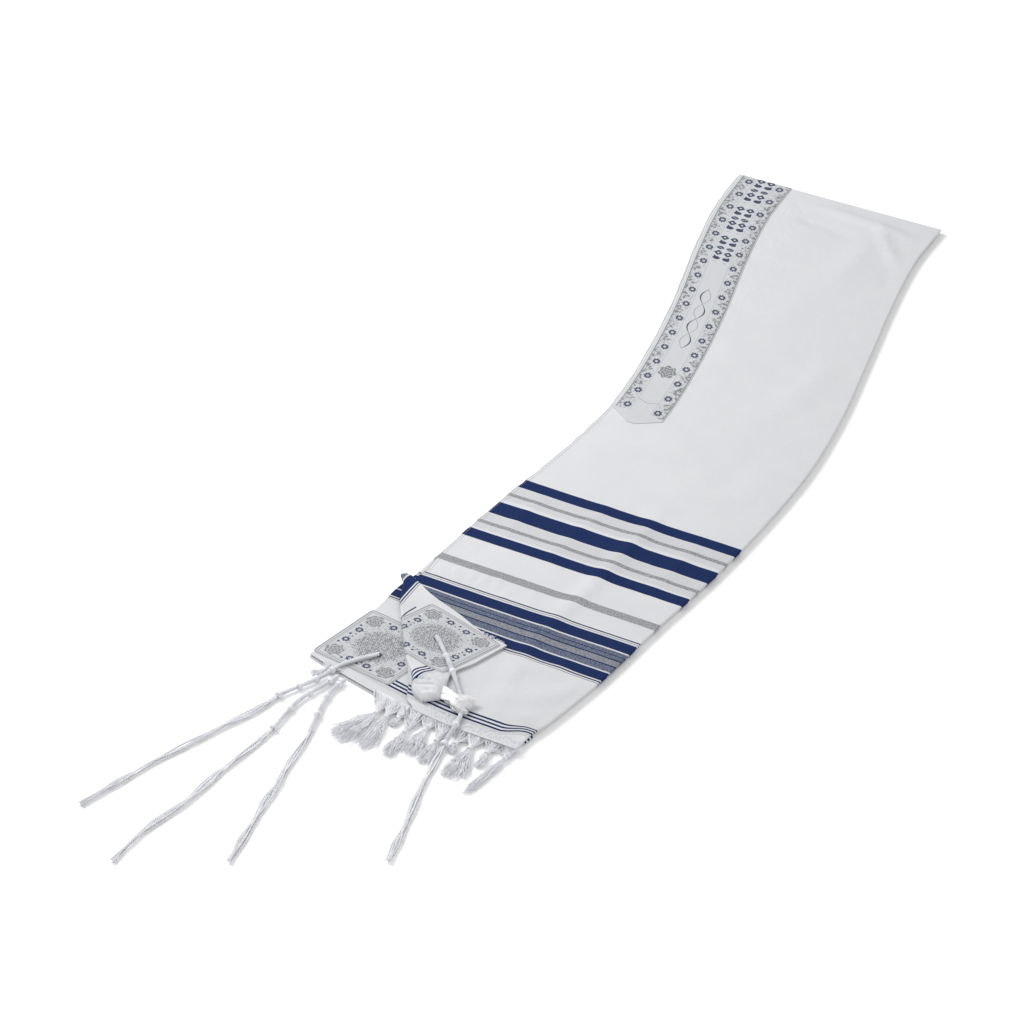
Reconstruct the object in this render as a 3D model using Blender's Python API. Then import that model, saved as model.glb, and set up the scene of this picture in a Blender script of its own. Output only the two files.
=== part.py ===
"""A tallit, the fringed prayer shawl, folded in four and laid flat with one corner turned back.

One striped cloth is folded along its length and then across, so four layers lie on each other.
A neckband, four corner squares, four corner tassels and a knotted fringe finish it.

Frame: metres, +Z up, the surface it lies on at z = 0, the origin under the middle of the
folded cloth and its fringe. +Y runs along the strip to the cross fold, where the cloth turns
under, and +X runs across to the lengthwise fold. The open edges are at -X, the fringe at -Y.
The whole cloth is cut 0.457 m wide and 1.88 m long, and so it is folded once each way.
"""

from collections import namedtuple
from math import cos, pi, radians, sin

import bmesh
import bpy
from mathutils import Vector

MM = 0.001

# The cloth and the pieces sewn to it.
CLOTH_WALL = 1.2 * MM
GAP = 0.3 * MM
SEWN_GAP = 0.4 * MM
PATCH_WALL = 1.0 * MM
BAND_WIDTH = 56 * MM
BAND_INSET = 4 * MM
BAND_LENGTH_SHOWN = 0.440
BAND_POINT = 15 * MM
CORD_RADIUS = 3 * MM
SQUARE_ROUND = 8 * MM

# Heights of the stack, from the surface up.
LOWER_HALF_TOP = 3.2 * MM
HIDDEN_TOP = 4.8 * MM
TOP_UNDERSIDE = HIDDEN_TOP + GAP
TOP_FACE = TOP_UNDERSIDE + CLOTH_WALL
FLAP_UNDERSIDE = TOP_FACE + GAP
FLAP_FACE = FLAP_UNDERSIDE + 2 * CLOTH_WALL
HOOK_UNDERSIDE = LOWER_HALF_TOP + GAP

# The folded strip bows to the right: where its middle runs and how wide it lies.
Section = namedtuple("Section", "along centre width")
STRIP = (
    Section(-0.424, -0.0322, 0.2405),
    Section(-0.324, -0.0080, 0.2340),
    Section(-0.224, 0.0050, 0.2340),
    Section(-0.124, 0.0185, 0.2360),
    Section(-0.024, 0.0310, 0.2280),
    Section(0.066, 0.0355, 0.2220),
    Section(0.156, 0.0275, 0.2210),
    Section(0.256, 0.0105, 0.2210),
    Section(0.356, -0.0100, 0.2265),
    Section(0.436, -0.0225, 0.2310),
    Section(0.506, -0.0245, 0.2350),
)
NEAR_END = -0.4355
NEAR_SWEEP = 0.030
NEAR_SWEEP_FROM = 0.032
NEAR_SWEEP_SPAN = 0.171
FAR_END = 0.5040
FAR_TILT = 0.02

# The fold of the turned-back corner, from the open long edge to the fringed end, and the free
# edges of the corner, from the start of the fold round its tip to the end of the fold.
Point = namedtuple("Point", "x y")
CORNER_FOLD = (
    Point(-0.1140, -0.2710),
    Point(-0.1065, -0.3035),
    Point(-0.0845, -0.3375),
    Point(-0.0615, -0.3720),
    Point(-0.0435, -0.3940),
    Point(-0.0365, -0.4100),
    Point(-0.0205, -0.4290),
)
CORNER_FREE_EDGES = (
    Point(-0.0850, -0.2825),
    Point(-0.0490, -0.2950),
    Point(-0.0145, -0.3090),
    Point(0.0120, -0.3140),
    Point(0.0085, -0.3300),
    Point(0.0010, -0.3520),
    Point(-0.0100, -0.3710),
    Point(-0.0110, -0.3850),
    Point(-0.0070, -0.4000),
    Point(-0.0080, -0.4150),
)
CUT_BACK = 4.4 * MM
HOOK_INSET = 3.4 * MM
ROLL_CENTRE = Point(-0.0225, -0.4050)
ROLL_REACH = Point(0.0190, 0.0250)
ROLL_HEIGHT = 6.5 * MM

# The corner squares, 80 mm across, each cut off where the turned corner's fold crosses it.
LEFT_SQUARE = (
    Point(-0.1425, -0.3980),
    Point(-0.1010, -0.4045),
    Point(-0.0600, -0.4105),
    Point(-0.0550, -0.3880),
)
LEFT_SQUARE_FAR_SIDE = (Point(-0.0965, -0.3265), Point(-0.1220, -0.3225))
TURNED_SQUARE = (
    Point(-0.0780, -0.2930),
    Point(0.0080, -0.3165),
    Point(-0.0070, -0.3480),
    Point(-0.0205, -0.3775),
    Point(-0.0540, -0.3745),
)

# Each bunch of fringe: where it leaves the hem, its knot, its brushed end and how wide that is.
Bunch = namedtuple("Bunch", "root_x knot_x knot_y tip_x tip_y spread")
FRINGE = (
    Bunch(-0.1190, -0.1230, -0.4190, -0.1310, -0.4270, 0.008),
    Bunch(-0.0560, -0.0505, -0.4480, -0.0680, -0.4960, 0.026),
    Bunch(-0.0440, -0.0400, -0.4490, -0.0385, -0.4960, 0.018),
    Bunch(-0.0300, -0.0295, -0.4450, -0.0315, -0.4560, 0.007),
    Bunch(-0.0180, -0.0150, -0.4590, -0.0160, -0.4950, 0.012),
    Bunch(-0.0020, -0.0005, -0.4480, 0.0020, -0.4845, 0.019),
    Bunch(0.0130, 0.0160, -0.4560, 0.0175, -0.4890, 0.011),
    Bunch(0.0330, 0.0330, -0.4510, 0.0355, -0.4640, 0.007),
    Bunch(0.0460, 0.0475, -0.4510, 0.0515, -0.4950, 0.023),
    Bunch(0.0640, 0.0640, -0.4490, 0.0655, -0.4700, 0.007),
    Bunch(0.0800, 0.0815, -0.4480, 0.0705, -0.5057, 0.007),
)

# The middle lines of the four corner tassels, from the cloth to their free ends.
Way = namedtuple("Way", "x y z")
TASSEL_ROUTES = (
    (
        Way(-0.0880, -0.3770, 0.0080),
        Way(-0.0960, -0.3870, 0.0080),
        Way(-0.1035, -0.3960, 0.0081),
        Way(-0.1100, -0.4050, 0.0080),
        Way(-0.1140, -0.4140, 0.0068),
        Way(-0.1180, -0.4240, 0.0046),
        Way(-0.1240, -0.4355, 0.0032),
        Way(-0.1315, -0.4490, 0.00305),
        Way(-0.1385, -0.4615, 0.00305),
        Way(-0.1430, -0.4730, 0.00305),
        Way(-0.1465, -0.4860, 0.00305),
        Way(-0.1520, -0.5010, 0.00305),
        Way(-0.1608, -0.5190, 0.00305),
        Way(-0.1690, -0.5390, 0.00305),
        Way(-0.1776, -0.5582, 0.00305),
        Way(-0.1860, -0.5780, 0.00305),
        Way(-0.1937, -0.5975, 0.00305),
        Way(-0.2004, -0.6163, 0.00305),
        Way(-0.2068, -0.6348, 0.00305),
        Way(-0.2130, -0.6532, 0.00305),
        Way(-0.2212, -0.6770, 0.00305),
    ),
    (
        Way(-0.1070, -0.4195, 0.0032),
        Way(-0.1105, -0.4310, 0.00305),
        Way(-0.1150, -0.4440, 0.00305),
        Way(-0.1195, -0.4570, 0.00305),
        Way(-0.1218, -0.4690, 0.00305),
        Way(-0.1222, -0.4860, 0.00305),
        Way(-0.1223, -0.5040, 0.00305),
        Way(-0.1232, -0.5190, 0.00305),
        Way(-0.1256, -0.5330, 0.00305),
        Way(-0.1287, -0.5490, 0.00305),
        Way(-0.1318, -0.5650, 0.00305),
        Way(-0.1345, -0.5815, 0.00305),
        Way(-0.1367, -0.5975, 0.00305),
        Way(-0.1385, -0.6136, 0.00305),
        Way(-0.1408, -0.6300, 0.00305),
        Way(-0.1450, -0.6475, 0.00305),
        Way(-0.1496, -0.6640, 0.00305),
        Way(-0.1530, -0.6810, 0.00305),
        Way(-0.1552, -0.6967, 0.00305),
        Way(-0.1564, -0.7117, 0.00305),
        Way(-0.1570, -0.7260, 0.00305),
    ),
    (
        Way(-0.0985, -0.4215, 0.0032),
        Way(-0.1010, -0.4335, 0.00305),
        Way(-0.1015, -0.4460, 0.00305),
        Way(-0.0998, -0.4590, 0.00305),
        Way(-0.0970, -0.4715, 0.00305),
        Way(-0.0943, -0.4835, 0.00305),
        Way(-0.0915, -0.4955, 0.00305),
        Way(-0.0894, -0.5070, 0.00305),
        Way(-0.0883, -0.5175, 0.00305),
        Way(-0.0876, -0.5290, 0.00305),
        Way(-0.0862, -0.5410, 0.00305),
        Way(-0.0838, -0.5550, 0.00305),
        Way(-0.0813, -0.5685, 0.00305),
        Way(-0.0797, -0.5830, 0.00305),
        Way(-0.0783, -0.5970, 0.00305),
        Way(-0.0765, -0.6106, 0.00305),
        Way(-0.0747, -0.6243, 0.00305),
        Way(-0.0732, -0.6384, 0.00305),
        Way(-0.0715, -0.6524, 0.00305),
        Way(-0.0692, -0.6660, 0.00305),
        Way(-0.0671, -0.6790, 0.00305),
    ),
    (
        Way(-0.0490, -0.3370, 0.0137),
        Way(-0.0400, -0.3455, 0.0137),
        Way(-0.0275, -0.3580, 0.0137),
        Way(-0.0145, -0.3715, 0.0136),
        Way(-0.0020, -0.3855, 0.0134),
        Way(0.0085, -0.3980, 0.0134),
        Way(0.0165, -0.4100, 0.0134),
        Way(0.0220, -0.4220, 0.0132),
        Way(0.0240, -0.4340, 0.0118),
        Way(0.0245, -0.4460, 0.0076),
        Way(0.0250, -0.4580, 0.0044),
        Way(0.0260, -0.4700, 0.0032),
        Way(0.0280, -0.4840, 0.00305),
        Way(0.0308, -0.4985, 0.00305),
        Way(0.0338, -0.5150, 0.00305),
        Way(0.0375, -0.5340, 0.00305),
        Way(0.0415, -0.5490, 0.00305),
        Way(0.0450, -0.5615, 0.00305),
        Way(0.0475, -0.5742, 0.00305),
        Way(0.0500, -0.5875, 0.00305),
        Way(0.0524, -0.6008, 0.00305),
        Way(0.0550, -0.6140, 0.00305),
    ),
)
TASSEL_SPACING = 2.2 * 2 * CORD_RADIUS

# Colours as linear values, with roughness.
Finish = namedtuple("Finish", "red green blue roughness")
WHITE_CLOTH = Finish(0.72, 0.73, 0.77, 0.85)
FOLDED_CLOTH = Finish(0.66, 0.67, 0.71, 0.88)
PRINTED_BAND = Finish(0.52, 0.54, 0.60, 0.70)
PRINTED_PATCH = Finish(0.56, 0.57, 0.61, 0.72)
WHITE_YARN = Finish(0.78, 0.78, 0.79, 0.80)


def clear_scene():
    for thing in list(bpy.data.objects):
        bpy.data.objects.remove(thing, do_unlink=True)


def material(name, finish):
    made = bpy.data.materials.new(name)
    made.use_nodes = True
    shader = made.node_tree.nodes["Principled BSDF"]
    shader.inputs["Base Color"].default_value = (finish.red, finish.green, finish.blue, 1)
    shader.inputs["Roughness"].default_value = finish.roughness
    shader.inputs["Metallic"].default_value = 0.0
    return made


def smooth_step(value):
    held = min(max(value, 0.0), 1.0)
    return held * held * (3 - 2 * held)


def strip(y):
    """The middle and the width of the folded strip at y, on a smooth curve through STRIP."""
    last = len(STRIP) - 2
    index = next((i for i in range(last) if y < STRIP[i + 1].along), last)
    before, after = STRIP[index], STRIP[index + 1]
    span = after.along - before.along
    t = (y - before.along) / span

    def slope(i, column):
        low, high = STRIP[max(i - 1, 0)], STRIP[min(i + 1, last + 1)]
        return (getattr(high, column) - getattr(low, column)) / (high.along - low.along)

    def read(column):
        start, end = getattr(before, column), getattr(after, column)
        if not 0 <= t <= 1:
            near_row = index if t < 0 else index + 1
            return (start if t < 0 else end) + slope(near_row, column) * (
                y - STRIP[near_row].along
            )
        lift_in, lift_out = slope(index, column) * span, slope(index + 1, column) * span
        return (
            start * (2 * t**3 - 3 * t**2 + 1)
            + lift_in * (t**3 - 2 * t**2 + t)
            + end * (3 * t**2 - 2 * t**3)
            + lift_out * (t**3 - t**2)
        )

    return read("centre"), read("width")


def left_edge(y):
    centre, width = strip(y)
    return centre - width / 2


def right_edge(y):
    centre, width = strip(y)
    return centre + width / 2


def near_edge(x):
    swept = max(0.0, (NEAR_SWEEP_FROM - x) / NEAR_SWEEP_SPAN)
    return NEAR_END + NEAR_SWEEP * swept**1.6


def far_edge(x):
    return FAR_END + FAR_TILT * x


def along(points, count):
    """count points spaced evenly along a line of points, its ends included."""
    flat = [Vector(p[:2]) for p in points]
    steps = [(b - a).length for a, b in zip(flat, flat[1:])]
    found = []
    for k in range(count):
        left = sum(steps) * k / (count - 1)
        i = 0
        while i < len(steps) - 1 and left > steps[i]:
            left -= steps[i]
            i += 1
        found.append(flat[i].lerp(flat[i + 1], min(left / steps[i], 1)))
    return found


def outwards(points):
    """The unit normal of a loop of points, drawn anticlockwise, at each of its points."""
    count = len(points)
    normals = []
    for i in range(count):
        run = points[(i + 1) % count] - points[i - 1]
        normals.append(Vector((run.y, -run.x)).normalized())
    return normals


def rounded(points, radius):
    """The loop with each corner turned softly, starting and ending a radius away from it."""
    turned = []
    for i, corner in enumerate(points):
        ends = []
        for other in (points[i - 1], points[(i + 1) % len(points)]):
            side = other - corner
            ends.append(corner + side * min(radius / side.length, 0.4))
        middle = corner * 0.5 + (ends[0] + ends[1]) * 0.25
        turned += [ends[0], middle, ends[1]]
    return turned


def mesh_object(name, rings, finish):
    """A closed body through rings of equal count, with a flat face at its first and last."""
    build = bmesh.new()
    corners = [[build.verts.new(point) for point in ring] for ring in rings]
    count = len(rings[0])
    for low, high in zip(corners, corners[1:]):
        for i in range(count):
            j = (i + 1) % count
            build.faces.new((low[i], low[j], high[j], high[i]))
    build.faces.new(list(reversed(corners[0])))
    build.faces.new(corners[-1])
    bmesh.ops.triangulate(build, faces=build.faces[:])
    bmesh.ops.recalc_face_normals(build, faces=build.faces[:])
    mesh = bpy.data.meshes.new(name)
    build.to_mesh(mesh)
    build.free()
    mesh.materials.append(finish)
    made = bpy.data.objects.new(name, mesh)
    bpy.context.scene.collection.objects.link(made)
    mesh.shade_smooth()
    mesh.set_sharp_from_angle(angle=radians(40))
    return made


# Sides of the strip's outline. At a fold the layers turn over; at an edge they end.
EDGE, LONG_FOLD, CROSS_FOLD = range(3)
CORNER_STEPS = 14
LONG_STEPS = 26


def strip_outline(corner, inset_left=0.0, far_left_cut=7 * MM, far_right_cut=6 * MM):
    """The strip's outline, anticlockwise, as (point, side). Its first points are the corner's."""
    start, end = CORNER_FOLD[0], CORNER_FOLD[-1]
    first_y = start.y + CUT_BACK
    low_y = near_edge(left_edge(near_edge(-0.14)))
    near_left = Vector((left_edge(low_y) + inset_left, low_y))
    near_right_x = right_edge(NEAR_END)
    if corner == "whole":
        down = [
            Vector((left_edge(y) + inset_left, y))
            for y in (first_y + (low_y - first_y) * k / 5 for k in range(6))
        ]
        across = [
            Vector((x, near_edge(x)))
            for x in (
                near_left.x + (end.x + CUT_BACK - near_left.x) * k / 8 for k in range(1, 9)
            )
        ]
        first = [(p, EDGE) for p in down + across]
    else:
        bent = [Vector(p) for p in CORNER_FOLD]
        runs = [(b - a) for a, b in zip(bent, bent[1:])]
        leans = [runs[0]] + [(a + b) for a, b in zip(runs, runs[1:])] + [runs[-1]]
        moved = [
            p + Vector((-lean.y, lean.x)).normalized() * CUT_BACK
            for p, lean in zip(bent, leans)
        ]
        moved.insert(0, Vector((left_edge(first_y) + inset_left, first_y)))
        moved.append(Vector((end.x + CUT_BACK, near_edge(end.x + CUT_BACK))))
        first = [(p, EDGE) for p in along(moved, CORNER_STEPS)]
    near_x = end.x + CUT_BACK
    for k in range(1, 6):
        x = near_x + (near_right_x - near_x) * k / 6
        first.append((Vector((x, near_edge(x))), EDGE))
    for k in range(LONG_STEPS + 1):
        y = NEAR_END + (far_edge(0.09) - far_right_cut - NEAR_END) * k / LONG_STEPS
        first.append((Vector((right_edge(y), y)), LONG_FOLD))
    right_x, left_x = right_edge(FAR_END), left_edge(FAR_END) + inset_left
    right_x -= far_right_cut
    left_x += 2.4 * MM
    for k in range(9):
        x = right_x + (left_x - right_x) * k / 8
        first.append((Vector((x, far_edge(x))), CROSS_FOLD))
    far_y = FAR_END - far_left_cut
    for k in range(21):
        y = far_y + (first_y - far_y) * k / 21
        first.append((Vector((left_edge(y) + inset_left, y)), EDGE))
    return first


def layered(outlines, profiles):
    """Rings from outlines, each point moved in and up by its side's profile, in millimetres."""
    rings = []
    for k, outline in enumerate(outlines):
        points = [point for point, _ in outline]
        normals = outwards(points)
        ring = []
        for (point, side), normal in zip(outline, normals):
            inset, height = profiles[side][k]
            moved = point - normal * inset * MM
            ring.append((moved.x, moved.y, height * MM))
        rings.append(ring)
    return rings


# How far in, and how high, each ring of a body lies, in millimetres: first the three hidden
# layers, from the flat underside up, then the top layer, from its underside out and over.
HIDDEN_PROFILES = {
    EDGE: (
        (1.0, 0), (0.3, 0.4), (0.3, 1.1), (1.7, 1.55), (0, 2.0), (0, 2.8), (0.9, 3.2),
        (2.6, 3.2), (0.8, 3.7), (0.8, 4.4), (1.6, 4.8),
    ),
    LONG_FOLD: (
        (2.0, 0), (0.9, 0.4), (0.15, 1.1), (0, 1.55), (0.15, 2.0), (1.1, 2.8), (2.2, 3.2),
        (3.4, 3.2), (1.9, 3.6), (2.6, 4.3), (4.2, 4.8),
    ),
    CROSS_FOLD: (
        (2.8, 0), (2.1, 0.4), (1.9, 1.1), (1.8, 1.55), (1.8, 2.0), (1.9, 2.8), (2.0, 3.1),
        (2.1, 3.25), (2.3, 3.6), (3.4, 4.3), (5.2, 4.8),
    ),
}
TOP_PROFILES = {
    EDGE: (
        (1.0, 5.1), (0.7, 5.1), (0.4, 5.15), (0.1, 5.4), (0, 5.7), (0.1, 6.0), (0.4, 6.25),
        (1.0, 6.3),
    ),
    LONG_FOLD: (
        (3.2, 5.1), (2.0, 4.8), (1.45, 4.2), (1.3, 3.6), (0.4, 3.6), (0, 4.6), (0.8, 5.8),
        (3.0, 6.3),
    ),
    CROSS_FOLD: (
        (4.2, 5.1), (2.5, 4.6), (1.4, 3.2), (1.3, 0.4), (0.3, 0.4), (0, 2.4), (0.9, 5.2),
        (4.0, 6.3),
    ),
}
UPPER_INSET = 2.0 * MM
LOWER_RINGS = 7


def folded_layers(finish):
    """The three layers under the top one, with the lower half's corner left bare."""
    whole = strip_outline("whole")
    cut = strip_outline("cut", UPPER_INSET)
    outlines = [whole] * LOWER_RINGS + [cut] * (len(HIDDEN_PROFILES[EDGE]) - LOWER_RINGS)
    return mesh_object("cloth_folded_layers", layered(outlines, HIDDEN_PROFILES), finish)


def top_layer(finish):
    """The layer that shows: a wall that turns down over both folds."""
    outline = strip_outline("cut", UPPER_INSET, 2.5 * MM, 2.5 * MM)
    rings = layered([outline] * len(TOP_PROFILES[EDGE]), TOP_PROFILES)
    return mesh_object("cloth_top_layer", rings, finish)


def flap_face(x, y):
    """The height of the turned corner's upper face, with the loose roll at its near end."""
    across = (x - ROLL_CENTRE.x) / ROLL_REACH.x
    lengthwise = (y - ROLL_CENTRE.y) / ROLL_REACH.y
    reach = min(1.0, (across**2 + lengthwise**2) ** 0.5)
    return FLAP_FACE + ROLL_HEIGHT * (0.5 + 0.5 * cos(pi * reach))


def turned_corner(finish):
    """The corner of the upper two layers, folded back on the top layer."""
    fold = along(list(reversed(CORNER_FOLD)), 20)
    free = along([CORNER_FOLD[0], *CORNER_FREE_EDGES, CORNER_FOLD[-1]], 30)[1:-1]
    free_reversed = list(reversed(free))
    outline = list(reversed(fold)) + free_reversed
    normals = outwards(outline)
    hook = [sin(pi * k / (len(fold) - 1)) ** 0.4 for k in range(len(fold))]
    hook = list(reversed(hook)) + [0.0] * len(free)
    middle = sum(outline, Vector((0, 0))) / len(outline)

    def ring(inset, height):
        return [
            (*(p - n * inset * MM), height(p - n * inset * MM, share))
            for p, n, share in zip(outline, normals, hook)
        ]

    def inner_ring(shrink, height):
        loop = [p - n * 6 * MM for p, n in zip(outline, normals)]
        return [(*(q.lerp(middle, shrink)), height(q.lerp(middle, shrink), 0)) for q in loop]

    def flat(_, share):
        return FLAP_UNDERSIDE

    def hooked(_, share):
        return FLAP_UNDERSIDE + (HOOK_UNDERSIDE - FLAP_UNDERSIDE) * share

    def part_way(amount):
        return lambda p, share: hooked(p, share) * (1 - amount) + flap_face(*p) * amount

    rings = [
        ring(6.0, flat),
        ring(HOOK_INSET / MM, flat),
        ring(HOOK_INSET / MM - 0.1, hooked),
        ring(1.2, hooked),
        ring(0.3, part_way(0.2)),
        ring(0.0, part_way(0.5)),
        ring(0.4, part_way(0.85)),
        ring(1.6, part_way(0.99)),
        inner_ring(0.0, part_way(1)),
        inner_ring(0.25, part_way(1)),
        inner_ring(0.5, part_way(1)),
        inner_ring(0.75, part_way(1)),
    ]
    return mesh_object("cloth_turned_corner", rings, finish)


def patch(name, outline, face, finish):
    """A square of stuff sewn on a face: the face's own points, moved out by a gap and a wall."""
    loop = rounded([Vector(p) for p in outline], SQUARE_ROUND)
    normals = outwards(loop)
    middle = sum(loop, Vector((0, 0))) / len(loop)
    low, high = GAP, GAP + PATCH_WALL

    def ring(shrink, inset, lift):
        placed = [p.lerp(middle, shrink) - n * inset for p, n in zip(loop, normals)]
        return [(p.x, p.y, face(p.x, p.y) + lift) for p in placed]

    rings = [ring(share, 0, low) for share in (0.8, 0.4, 0.02)]
    rings += [ring(0, 0, (low + high) / 2)]
    rings += [ring(share, 0, high) for share in (0.02, 0.4, 0.8)]
    return mesh_object(name, rings, finish)


def beside_fold(first, last, offset):
    """Points of the turned corner's fold between two heights, moved off to one side."""
    bent = [Vector(p) for p in CORNER_FOLD if first > p.y > last]
    lean = (Vector(CORNER_FOLD[-1]) - Vector(CORNER_FOLD[0])).normalized()
    return [p + Vector((-lean.y, lean.x)) * offset for p in bent]


def left_square(finish):
    beside = beside_fold(-0.330, -0.386, -2.0 * MM)
    outline = [*LEFT_SQUARE, *reversed(beside), *LEFT_SQUARE_FAR_SIDE]
    return patch("corner_square_left", outline, lambda x, y: LOWER_HALF_TOP, finish)


def turned_square(finish):
    beside = beside_fold(-0.330, -0.376, 2.0 * MM)
    outline = [*TURNED_SQUARE, *reversed(beside)]

    def bridged(x, y):
        return max(flap_face(x, y), flap_face(x, y - 7 * MM)) + SEWN_GAP

    return patch("corner_square_turned", list(reversed(outline)), bridged, finish)


def neckband(finish):
    """The atara: a strip sewn beside the neck edge, pointed at its end, over the cross fold."""
    stations = []
    start = FAR_END - BAND_LENGTH_SHOWN
    for k in range(25):
        y = start + (FAR_END - 5 * MM - start) * k / 24
        stations.append((y, TOP_FACE, Vector((0, 0, 1))))
    for inset, height, tilt in ((2.4, 6.2, 20), (0.7, 5.35, 42), (0, 3.9, 75), (-0.15, 2.4, 90)):
        turned = Vector((0, sin(radians(tilt)), cos(radians(tilt))))
        stations.append((FAR_END - inset * MM, height * MM, turned))
    stations.append((FAR_END, 0.9 * MM, Vector((0, 1, 0))))
    rings = []
    for k, (y, z, normal) in enumerate(stations):
        inner = left_edge(y) + UPPER_INSET + BAND_INSET
        outer = inner + BAND_WIDTH
        tilt = Vector((0, 1, 0)) * FAR_TILT * smooth_step((y - start) / 0.4)
        ring = []
        low, high = SEWN_GAP, SEWN_GAP + PATCH_WALL
        for x, lift in ((inner, low), (outer, low), (outer, high), (inner, high)):
            ring.append(Vector((x, y, z)) + normal * lift + tilt * x)
        rings.append(ring)
    point_y = start - BAND_POINT
    middle = left_edge(start) + UPPER_INSET + BAND_INSET + BAND_WIDTH / 2
    half = 4 * MM
    low, high = TOP_FACE + SEWN_GAP, TOP_FACE + SEWN_GAP + PATCH_WALL
    nose = [
        Vector((middle - half, point_y, low)),
        Vector((middle + half, point_y, low)),
        Vector((middle + half, point_y, high)),
        Vector((middle - half, point_y, high)),
    ]
    return mesh_object("neckband", [nose, *rings], finish)


BUNCH_SIDES = 8


def oval(centre, run, half_width, half_height):
    """A ring of points round a centre, across the way that a bunch of yarn runs."""
    across = Vector((run.y, -run.x, 0)).normalized()
    return [
        centre + across * half_width * cos(a) + Vector((0, 0, 1)) * half_height * sin(a)
        for a in (2 * pi * k / BUNCH_SIDES for k in range(BUNCH_SIDES))
    ]


def fringe_bunch(number, row, finish):
    """One knotted bunch of fringe: its twisted root, its knot and its brushed-out end."""
    root = Vector((row.root_x, near_edge(row.root_x) - 1.3 * MM, 2.6 * MM))
    knot = Vector((row.knot_x, row.knot_y, 2.8 * MM))
    tip = Vector((row.tip_x, row.tip_y, 1.9 * MM))
    run = (tip - root).xy.to_3d().normalized()
    neck = knot.lerp(tip, 0.25)
    rings = [
        oval(root, run, 1.8 * MM, 1.6 * MM),
        oval(root.lerp(knot, 0.7), run, 1.7 * MM, 1.7 * MM),
        oval(knot, run, 2.6 * MM, 2.5 * MM),
        oval(neck, run, 1.6 * MM + row.spread * 0.15, 1.8 * MM),
        oval(knot.lerp(tip, 0.65), run, row.spread * 0.42, 1.8 * MM),
        oval(tip, run, row.spread * 0.5, 1.5 * MM),
    ]
    return mesh_object(f"fringe_{number:02d}", rings, finish)


def fringe_on_top(finish):
    """The bunch from the turned corner's edge, lying across the top layer."""
    low = FLAP_UNDERSIDE
    route = (
        (Vector((-0.0030, -0.4030, low + 1.8 * MM)), 1.6 * MM, 1.6 * MM),
        (Vector((0.0040, -0.4085, low + 1.8 * MM)), 1.8 * MM, 1.6 * MM),
        (Vector((0.0105, -0.4110, low + 1.7 * MM)), 3.0 * MM, 1.6 * MM),
        (Vector((0.0205, -0.4105, low + 1.5 * MM)), 7.5 * MM, 1.4 * MM),
        (Vector((0.0315, -0.4090, low + 1.3 * MM)), 10.0 * MM, 1.2 * MM),
    )
    run = route[-1][0] - route[0][0]
    rings = [oval(centre, run, width, height) for centre, width, height in route]
    return mesh_object("fringe_on_top", rings, finish)


def smooth_route(ways, spacing):
    """Points a spacing apart on a Catmull-Rom curve through the ways."""
    knots = [Vector(way) for way in ways]
    knots = [2 * knots[0] - knots[1], *knots, 2 * knots[-1] - knots[-2]]
    fine = []
    for a, b, c, d in zip(knots, knots[1:], knots[2:], knots[3:]):
        for k in range(12):
            t = k / 12
            fine.append(
                0.5 * (2 * b + (c - a) * t + (2 * a - 5 * b + 4 * c - d) * t**2
                       + (3 * b - a - 3 * c + d) * t**3)
            )
    fine.append(knots[-2])
    total = sum((b - a).length for a, b in zip(fine, fine[1:]))
    count = max(2, round(total / spacing))
    wanted = [total * k / count for k in range(count + 1)]
    points, run, i = [], 0.0, 0
    for mark in wanted:
        while i < len(fine) - 2 and run + (fine[i + 1] - fine[i]).length < mark:
            run += (fine[i + 1] - fine[i]).length
            i += 1
        step = (fine[i + 1] - fine[i]).length
        points.append(fine[i].lerp(fine[i + 1], min(1, (mark - run) / step)))
    return points, total


def corner_tassel(number, ways, finish):
    """One tzitzit: a plain tube along the wound and the loose part of the tassel."""
    points, length = smooth_route(ways, TASSEL_SPACING)
    name = f"corner_tassel_{number}"
    curve = bpy.data.curves.new(name, "CURVE")
    curve.dimensions = "3D"
    spline = curve.splines.new("POLY")
    spline.points.add(len(points) - 1)
    for slot, point in zip(spline.points, points):
        slot.co = (*point, 1)
    curve.bevel_depth = CORD_RADIUS
    curve.bevel_resolution = 3
    curve.use_fill_caps = True
    curve.materials.append(finish)
    made = bpy.data.objects.new(name, curve)
    bpy.context.scene.collection.objects.link(made)
    print(f"{name}: {length * 1000:.0f} mm, {len(points)} points")
    return made


def main():
    clear_scene()
    white = material("white_cloth", WHITE_CLOTH)
    under = material("folded_cloth", FOLDED_CLOTH)
    band = material("printed_band", PRINTED_BAND)
    square = material("printed_patch", PRINTED_PATCH)
    yarn = material("white_yarn", WHITE_YARN)
    folded_layers(under)
    top_layer(white)
    turned_corner(white)
    left_square(square)
    turned_square(square)
    neckband(band)
    for number, row in enumerate(FRINGE, 1):
        fringe_bunch(number, row, yarn)
    fringe_on_top(yarn)
    for number, ways in enumerate(TASSEL_ROUTES, 1):
        corner_tassel(number, ways, yarn)


main()
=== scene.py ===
# %% [markdown]
# # A tallit, folded in four and laid flat with one corner turned back
# A tallit is one woven cloth: white, with navy and silver stripes at both ends, a knotted fringe,
# a neckband (the atara), a square sewn on each corner and a tassel (tzitzit) through each square.
# Every length below is in metres, +Z is up, and the surface it lies on is z = 0.
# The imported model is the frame: it holds the plain solids that the detailed pieces stand for.

# %% Load the frame and note its box
from collections import namedtuple
from math import cos, pi, radians, sin

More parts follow.
